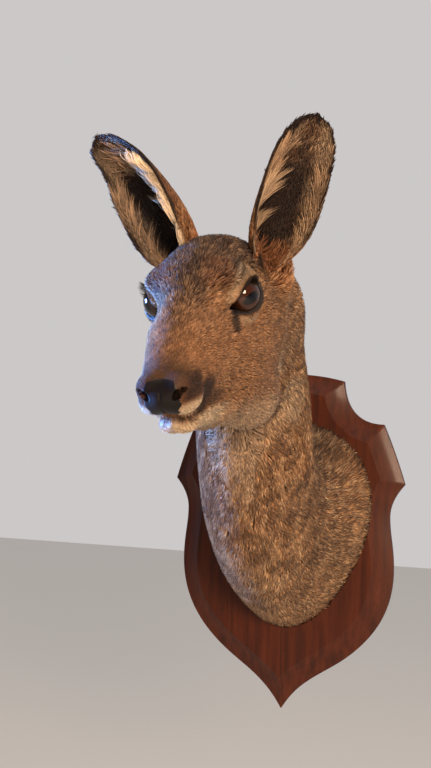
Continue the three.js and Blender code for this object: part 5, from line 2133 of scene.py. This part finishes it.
@dataclass
class Shield:
    """The board: lugs and corners above, a belly and a drawn-out tip below, and a hollow edge."""

    height: float = 390
    thickness: float = 20
    side: float = 8.5
    bevel: float = 23
    belly: tuple[float, float] = (128.3, -28)
    waist: tuple[float, float] = (124, 28)
    lug: tuple[float, float] = (141, 66.5)
    ear: tuple[float, float] = (117.5, 134.3)
    crown: tuple[float, float] = (71, 185)
    cove: float = 1.35
    cove_steps: int = 14
    arris: float = 0.8  # sanded rounding of the edges
    fine: int = 40
    steps: tuple[int, ...] = (26, 24, 26, 120)
    pocket: tuple[float, float, float, float] = (118, 62, 24, 7)  # middle, width, height, depth
    pocket_corner: float = 5
    screws: tuple[float, ...] = (62, -46)
    recess: tuple[float, float] = (5.5, 6)  # radius and depth

    @staticmethod
    def bezier(controls: Curve, count: int) -> Array:
        """Points along a Bezier curve.

        Args:
            controls: its control points.
            count: how many steps it is cut into.

        Returns:
            One point a row.
        """
        t = np.linspace(0, 1, count + 1)[:, None]
        rows = [np.array(p, float)[None] + 0 * t for p in controls]
        while len(rows) > 1:
            rows = [mix(a, b, t) for a, b in zip(rows, rows[1:])]
        return rows[0]

    def curves(self) -> list[Array]:
        """The right half of the outline as curves that meet at its corners, from the top down.

        Returns:
            One array of points a curve.
        """
        top, foot = (0, self.height / 2), (0, -self.height / 2)
        belly, waist, lug, ear, crown = self.belly, self.waist, self.lug, self.ear, self.crown
        hip = (0.53 * belly[0], belly[1] - 108)
        shoulder = ((ear[0] + lug[0]) / 2 + 2, (ear[1] + lug[1]) / 2)
        flank = [
            [lug, (waist[0] + 9, lug[1] - 9), (waist[0] - 0.5, lug[1] - 22), waist],
            [waist, (waist[0], waist[1] - 18), (belly[0], belly[1] + 24), belly],
            [belly, (belly[0], belly[1] - 47), (0.83 * belly[0], belly[1] - 80), hip],
            [hip, (0.33 * belly[0], belly[1] - 126), (0.15 * belly[0], belly[1] - 136), foot],
        ]
        runs = [self.bezier(controls, self.fine) for controls in flank]
        return [
            self.bezier([top, (0.56 * crown[0], self.height / 2 - 0.5), crown], self.fine),
            self.bezier([crown, (crown[0] + 3, ear[1] + 1.5), ear], self.fine),
            self.bezier([ear, shoulder, lug], self.fine),
            np.vstack([runs[0]] + [run[1:] for run in runs[1:]]),
        ]

    @staticmethod
    def crossing(first: Array, second: Array) -> tuple[int, int, Array] | None:
        """Where two lines cross, searched from the end of the first.

        Args:
            first: a line's points.
            second: another line's points.

        Returns:
            The step of each line that crosses and the place, or None.
        """
        for i in range(len(first) - 2, -1, -1):
            r = first[i + 1] - first[i]
            q = np.diff(second, axis=0)
            gap = second[:-1] - first[i]
            area = r[0] * q[:, 1] - r[1] * q[:, 0]
            area = np.where(np.abs(area) < TINY, TINY, area)
            s = (gap[:, 0] * q[:, 1] - gap[:, 1] * q[:, 0]) / area
            t = (gap[:, 0] * r[1] - gap[:, 1] * r[0]) / area
            hits = np.nonzero((s >= 0) & (s <= 1) & (t >= 0) & (t <= 1))[0]
            if len(hits):
                j = int(hits[0])
                return i, j, first[i] + r * s[j]
        return None

    def ring(self, distance: float) -> Array:
        """The closed outline drawn in by a distance, its corners mitred.

        Args:
            distance: millimetres inwards.

        Returns:
            Points as x and z, clockwise from the top's middle.
        """
        lines = []
        for line in self.curves():
            ends = np.vstack([line[:1], line, line[-1:]])
            way = unit(ends[2:] - ends[:-2])
            lines.append(line + np.stack([way[:, 1], -way[:, 0]], axis=1) * distance)
        axis = np.array([[0, self.height], [0, -self.height]], float)
        lines[0][0, 0] = 0
        for k in range(len(lines)):
            following = lines[k + 1] if k + 1 < len(lines) else axis
            met = self.crossing(lines[k], following) if distance > 0 else None
            if met is None:
                continue
            i, j, place = met
            lines[k] = np.vstack([lines[k][: i + 1], place])
            if k + 1 < len(lines):
                lines[k + 1] = np.vstack([place, following[j + 1 :]])
        right = []
        for line, steps in zip(lines, self.steps):
            run = np.concatenate([[0], np.cumsum(np.linalg.norm(np.diff(line, axis=0), axis=1))])
            at = np.linspace(0, run[-1], steps, endpoint=False)
            right.append(np.stack([np.interp(at, run, line[:, k]) for k in (0, 1)], axis=1))
        half = np.vstack(right)
        left = half[1:][::-1] * (-1, 1)
        return np.vstack([half, [[0, lines[-1][-1, 1]]], left])

    def holes(self) -> list[tuple[Array, float]]:
        """The recesses in the back: their outlines, clockwise as seen from behind, and depths.

        Returns:
            Pairs of points as x and z, and a depth.
        """
        middle, width, height, depth = self.pocket
        corner = self.pocket_corner
        angle = np.linspace(0, 2 * math.pi, 33)[:-1]
        x = np.cos(angle) * corner + np.sign(np.cos(angle + 0.01)) * (width / 2 - corner)
        z = np.sin(angle) * corner + np.sign(np.sin(angle + 0.01)) * (height / 2 - corner) + middle
        made = [(np.stack([x, z], axis=1), depth)]
        for z_at in self.screws:
            circle = np.stack([np.cos(angle), np.sin(angle)], axis=1) * self.recess[0]
            made.append((circle + (0, z_at), self.recess[1]))
        return made

    def build(self, material: bpy.types.Material) -> None:
        """Makes the board and stands it in for its solid.

        Args:
            material: its finish.
        """
        layers = [(self.arris, 0.0), (self.arris * 0.3, -self.arris * 0.3), (0.0, -self.arris)]
        layers += [(0.0, self.arris - self.side), (self.arris * 0.3, -self.side + self.arris * 0.25)]
        for k in range(1, self.cove_steps + 1):
            s = k / self.cove_steps
            layers.append((self.bevel * s, -self.side - (self.thickness - self.side) * s**self.cove))
        rings = [self.ring(draw) for draw, _ in layers]
        count = len(rings[0])
        points = [(p[0], layer[1], p[1]) for ring, layer in zip(rings, layers) for p in ring]
        faces: list[tuple[int, ...]] = []
        for k in range(len(rings) - 1):
            for i in range(count):
                a, b = k * count + i, k * count + (i + 1) % count
                faces.append((b, a, a + count, b + count))
        front = (len(rings) - 1) * count
        faces += self.filled([rings[-1]], [np.arange(count) + front], True)
        loops, numbers = [rings[0]], [np.arange(count)]
        for outline, depth in self.holes():
            first = len(points)
            size = len(outline)
            points += [(p[0], 0.0, p[1]) for p in outline] + [(p[0], -depth, p[1]) for p in outline]
            for i in range(size):
                after = (i + 1) % size
                faces.append((first + i, first + after, first + size + after, first + size + i))
            faces.append(tuple(first + size + np.arange(size))[::-1])
            loops.append(outline)
            numbers.append(first + np.arange(size))
        faces += self.filled(loops, numbers, False)
        mesh = bpy.data.meshes.new("shield_varnished")
        faces = [tuple(int(v) for v in face) for face in faces]
        mesh.from_pydata((np.array(points) * MM).tolist(), [], faces)
        mesh.polygons.foreach_set("use_smooth", np.ones(len(mesh.polygons), bool))
        mesh.set_sharp_from_angle(angle=math.radians(32))
        mesh.materials.append(material)
        made = put("shield_varnished", mesh)
        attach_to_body(made, "root")
        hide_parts("shield_board")

    @staticmethod
    def filled(loops: list[Array], numbers: list[Array], front: bool) -> list[tuple[int, ...]]:
        """Fills a flat outline that may have holes.

        Args:
            loops: the outline and then its holes, as x and z.
            numbers: the vertex numbers of each loop's points.
            front: whether the face looks towards -Y.

        Returns:
            Triangles.
        """
        order = np.concatenate(numbers)
        rows = [[(float(x), float(z), 0.0) for x, z in loop] for loop in loops]
        flat = np.concatenate(loops)
        made = []
        for a, b, c in tessellate_polygon(rows):
            ab, ac = flat[b] - flat[a], flat[c] - flat[a]
            anticlockwise = ab[0] * ac[1] - ab[1] * ac[0] > 0
            made.append(tuple(order[[a, b, c] if anticlockwise == front else [a, c, b]]))
        return made


# ---------------------------------------------------------------- stage
def stand(made: bpy.types.Object, at: Array, side: Array, back: Array) -> None:
    """Stands a camera or a lamp at a place in metres, with its own x and z along side and back."""
    turn = Matrix(np.stack([side, np.cross(back, side), back], axis=1).tolist()).to_4x4()
    turn.translation = at
    made.matrix_world = turn


@dataclass(frozen=True)
class Lamp:
    """A soft lamp: where it stands, where it points, its size, power, colour and spread in degrees."""

    name: str
    at: tuple[float, float, float]
    towards: tuple[float, float, float]
    size: float
    power: float
    colour: str
    spread: float = 180


@dataclass(frozen=True)
class Stage:
    """Camera, lamps, pale floor and surroundings."""

    eye: tuple[float, float, float] = (267.1, -896.9, 83.5)
    azimuth: float = 22.0
    pitch: float = 6.0
    roll: float = 1.52
    lens: float = 36.0
    floor_z: float = -0.75
    floor_half: float = 6.0
    floor: str = "#d9d5d0"
    air_behind: str = "#dbd7d7"
    air_before: str = "#66615d"
    air_strength: float = 0.85
    lamps: tuple[Lamp, ...] = (
        Lamp("window_warm", (1.35, -2.1, 0.55), (0.0, -0.25, 0.05), 0.7, 76, "#ffdfc0"),
        Lamp("window_cool", (-1.6, -0.56, 0.18), (0.0, -0.5, 0.03), 0.5, 10.5, "#66a0ff", 20),
        Lamp("ceiling", (0.0, -0.8, 2.0), (0.0, -0.2, 0.0), 1.6, 10, "#fff1e4"),
    )

    def camera(self) -> None:
        """Stands the camera in front and to the right of the mount."""
        az, p, r = (math.radians(v) for v in (self.azimuth, self.pitch, self.roll))
        back = np.array([math.sin(az) * math.cos(p), -math.cos(az) * math.cos(p), -math.sin(p)])
        right = np.array([math.cos(az), math.sin(az), 0])
        across = math.cos(r) * right + math.sin(r) * np.cross(back, right)
        lens = bpy.data.cameras.new("camera")
        lens.lens = self.lens
        lens.sensor_width = 36.0
        lens.clip_start = 0.05
        made = put("camera", lens)
        stand(made, np.array(self.eye) * MM, across, back)
        bpy.context.scene.camera = made

    def light(self) -> None:
        """Hangs the soft lamps and sets the pale surroundings."""
        for lamp in self.lamps:
            data = bpy.data.lights.new(lamp.name, "AREA")
            data.shape = "SQUARE"
            data.size = lamp.size
            data.energy = lamp.power
            data.color = paint(lamp.colour)[:3]
            data.spread = math.radians(lamp.spread)
            back = unit(np.subtract(lamp.at, lamp.towards))
            stand(put(lamp.name, data), lamp.at, unit(np.cross((0, 0, 1.0), back)), back)
        world = bpy.data.worlds.new("pale_air")
        world.use_nodes = True
        tree = world.node_tree
        side = add(tree, "SeparateXYZ", {0: add(tree, "TexCoord")["Generated"]})[1]
        edges = {"Value": side, "From Min": -0.5, "From Max": 0.6}
        share = add(tree, "MapRange", edges, interpolation_type="SMOOTHSTEP")
        air = layered(tree, paint(self.air_before), (share[0], self.air_behind))
        feed(tree, tree.nodes["Background"], {"Color": air, "Strength": self.air_strength})
        bpy.context.scene.world = world
        bpy.context.scene.view_settings.view_transform = "Standard"

    def ground(self) -> None:
        """Lays the pale floor well below the mount."""
        half = self.floor_half
        mesh = bpy.data.meshes.new("floor")
        corners = [(-half, -half), (half, -half), (half, half), (-half, half)]
        mesh.from_pydata([(x, y, self.floor_z) for x, y in corners], [], [(0, 1, 2, 3)])
        made, tree, shader = blank("pale_plaster_floor")
        where = add(tree, "TexCoord")["Object"]
        cloud = add(tree, "TexNoise", {"Vector": where, "Scale": 1.5, "Detail": 3.0})
        rough = add(tree, "MapRange", {"Value": cloud[0], "To Min": 0.75, "To Max": 0.9})
        feed(tree, shader, {"Base Color": paint(self.floor), "Roughness": rough[0]})
        feed(tree, shader, {"Emission Color": paint(self.floor), "Emission Strength": 0.22})
        mesh.materials.append(made)
        put("floor", mesh)

    def set(self) -> None:
        """Sets the whole stage."""
        self.camera()
        self.light()
        self.ground()


# ---------------------------------------------------------------- the whole mount
COAT_PIECES = {  # each band's name, from the shield to the nose, with the size of its clumps in mm
    "coat_at_shield": 8.5,
    "coat_brisket": 7.5,
    "coat_lower_neck": 6.5,
    "coat_middle_neck": 6,
    "coat_upper_neck": 5.5,
    "coat_throat_and_nape": 4.5,
    "coat_poll_and_jaw": 3.6,
    "coat_brow_and_cheeks": 2.6,
    "coat_muzzle": 2.2,
}


@dataclass
class Mount:
    """The skin, its coat and the eyes, built in order."""

    seed: int = 20
    clearance: float = 0.4  # between the shield's face and hair pressed flat on it
    outline: Outline = field(default_factory=Outline)

    def build(self) -> None:
        """Builds every piece of the animal, in order."""
        head = self.outline.head
        eyes = (EyeSocket(head, 1), EyeSocket(head, -1))
        face = Face()
        markings = Markings(head, face, eyes)
        body = Body(self.outline, face, eyes, markings, CoatRule())
        skin = body.surface()
        log.info("skin: %d rings of %d", *skin.points.shape[:2])
        lids = [Lids(eye, body).surface() for eye in eyes]
        ears = [Ear(shape, head).surface() for shape in EAR_SHAPES]
        # the skin's darker tones are painted shade between the tufts
        bare = HairFinish("tanned_skin_with_short_hair", True, tones=(0.26, 0.6)).material()
        hair = HairFinish("winter_guard_hair", False).material()
        self.dress_skin(skin, lids, ears, bare)
        glass = EyeGlass().material()
        for eye, side in zip(eyes, ("left", "right")):
            GlassEye(eye).build(f"glass_eye_{side}", f"eye_{side}", glass)
            log.info("glass_eye_%s", side)
        self.grow_coat(skin, lids, hair)
        self.grow_ears(ears, hair)
        self.grow_lashes(eyes, lids, hair)

    def dress_skin(
        self, skin: Surface, lids: list[Surface], ears: list[Surface], finish: bpy.types.Material
    ) -> None:
        """Makes the skin and the nose's leather.

        Args:
            skin: the body's surface.
            lids: the lids' patches.
            ears: the ears' surfaces.
            finish: the skin's material.
        """
        nose = cell_mean(skin.leather) > 0.6
        parts = [skin.shell(skin.shown & ~nose, (False,))] + [lid.shell() for lid in lids]
        parts += [ear.shell(ends=(False, True)) for ear in ears]
        whole = Shell.joined(parts).trimmed()
        made = whole.build("skin", finish, True)
        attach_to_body(made, "root")
        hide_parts("neck_lower", "neck_upper", "head", "muzzle", "lower_jaw", "ear_left", "ear_right")
        log.info("skin: %d faces", len(whole.sizes))
        leather = skin.shell(skin.shown & nose, (True,)).trimmed()
        made = leather.build("nose_leather", NoseLeather().material(), True)
        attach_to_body(made, "root")
        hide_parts("nose_pad")
        log.info("nose_leather: %d faces", len(leather.sizes))

    def finish_coat(self, name: str, shell: Shell, hair: bpy.types.Material) -> None:
        """Makes one coat piece and reports it.

        Args:
            name: the piece's name.
            shell: its tufts.
            hair: its material.
        """
        made = shell.build(name, hair, False)
        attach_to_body(made, "root")
        log.info("%s: %d triangles", name, int(np.sum(shell.sizes - 2)))

    def grow_coat(self, skin: Surface, lids: list[Surface], hair: bpy.types.Material) -> None:
        """Grows the coat of the head and neck in bands.

        Args:
            skin: the body's surface.
            lids: the lids' patches.
            hair: the coat's material.
        """
        rng = np.random.default_rng(self.seed)
        roots = Roots.strewn(skin, rng)
        bands = np.array_split(np.arange(len(roots.at)), len(COAT_PIECES))
        for k, ((name, clump), band) in enumerate(zip(COAT_PIECES.items(), bands)):
            own = roots.picked(band).unrolled()
            shell = Tufts(clump=clump).shell(own, rng, self.outline)
            shell.points[:, 1] = np.minimum(shell.points[:, 1], self.outline.base[1] - self.clearance)
            self.finish_coat(name, shell, hair)
        for lid, side in zip(lids, ("left", "right")):
            own = Roots.strewn(lid, rng).unrolled()
            shell = Tufts(clump=4, pull=0.1, stray=0.12).shell(own, rng)
            self.finish_coat(f"coat_round_eye_{side}", shell, hair)

    def grow_ears(self, ears: list[Surface], hair: bpy.types.Material) -> None:
        """Grows the ears' short coat.

        Args:
            ears: the ears' surfaces.
            hair: the coat's material.
        """
        rng = np.random.default_rng(self.seed + 1)
        for ear, side, shape, locks in zip(ears, ("left", "right"), EAR_SHAPES, (LEFT_LOCKS, RIGHT_LOCKS)):
            own = Roots.strewn(ear, rng).unrolled()
            shell = Tufts(clump=5, pull=0.25, stray=0.2, sink=0.3).shell(own, rng)
            self.finish_coat(f"coat_ear_{side}", shell, hair)
            inner = InnerHair(Ear(shape, self.outline.head), locks).shell(rng)
            self.finish_coat(f"inner_hair_{side}", inner, hair)

    def grow_lashes(self, eyes: tuple, lids: list[Surface], hair: bpy.types.Material) -> None:
        """Sets the lashes in both upper lids.

        Args:
            eyes: the eye sockets.
            lids: the lids' patches.
            hair: their material.
        """
        rng = np.random.default_rng(self.seed + 2)
        for eye, lid, side in zip(eyes, lids, ("left", "right")):
            shell = Lashes(eye, lid).shell(rng)
            self.finish_coat(f"lashes_{side}", shell, hair)


def dress_brass() -> None:
    """Gives the hanger and the screw heads their brass."""
    brass = RolledBrass().material()
    for node in ("hanger", "screw_upper", "screw_lower"):
        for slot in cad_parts[node].material_slots:
            slot.material = brass
        log.info("%s: brass", node)


def main() -> None:
    """Builds the stage, the shield and the animal, and notes the sizes."""
    logging.basicConfig(level=logging.INFO, format="%(name)s %(message)s")
    Stage().set()
    Shield().build(VarnishedMahogany().material())
    log.info("shield_varnished")
    dress_brass()
    Mount().build()


if __name__ == "__main__":
    main()
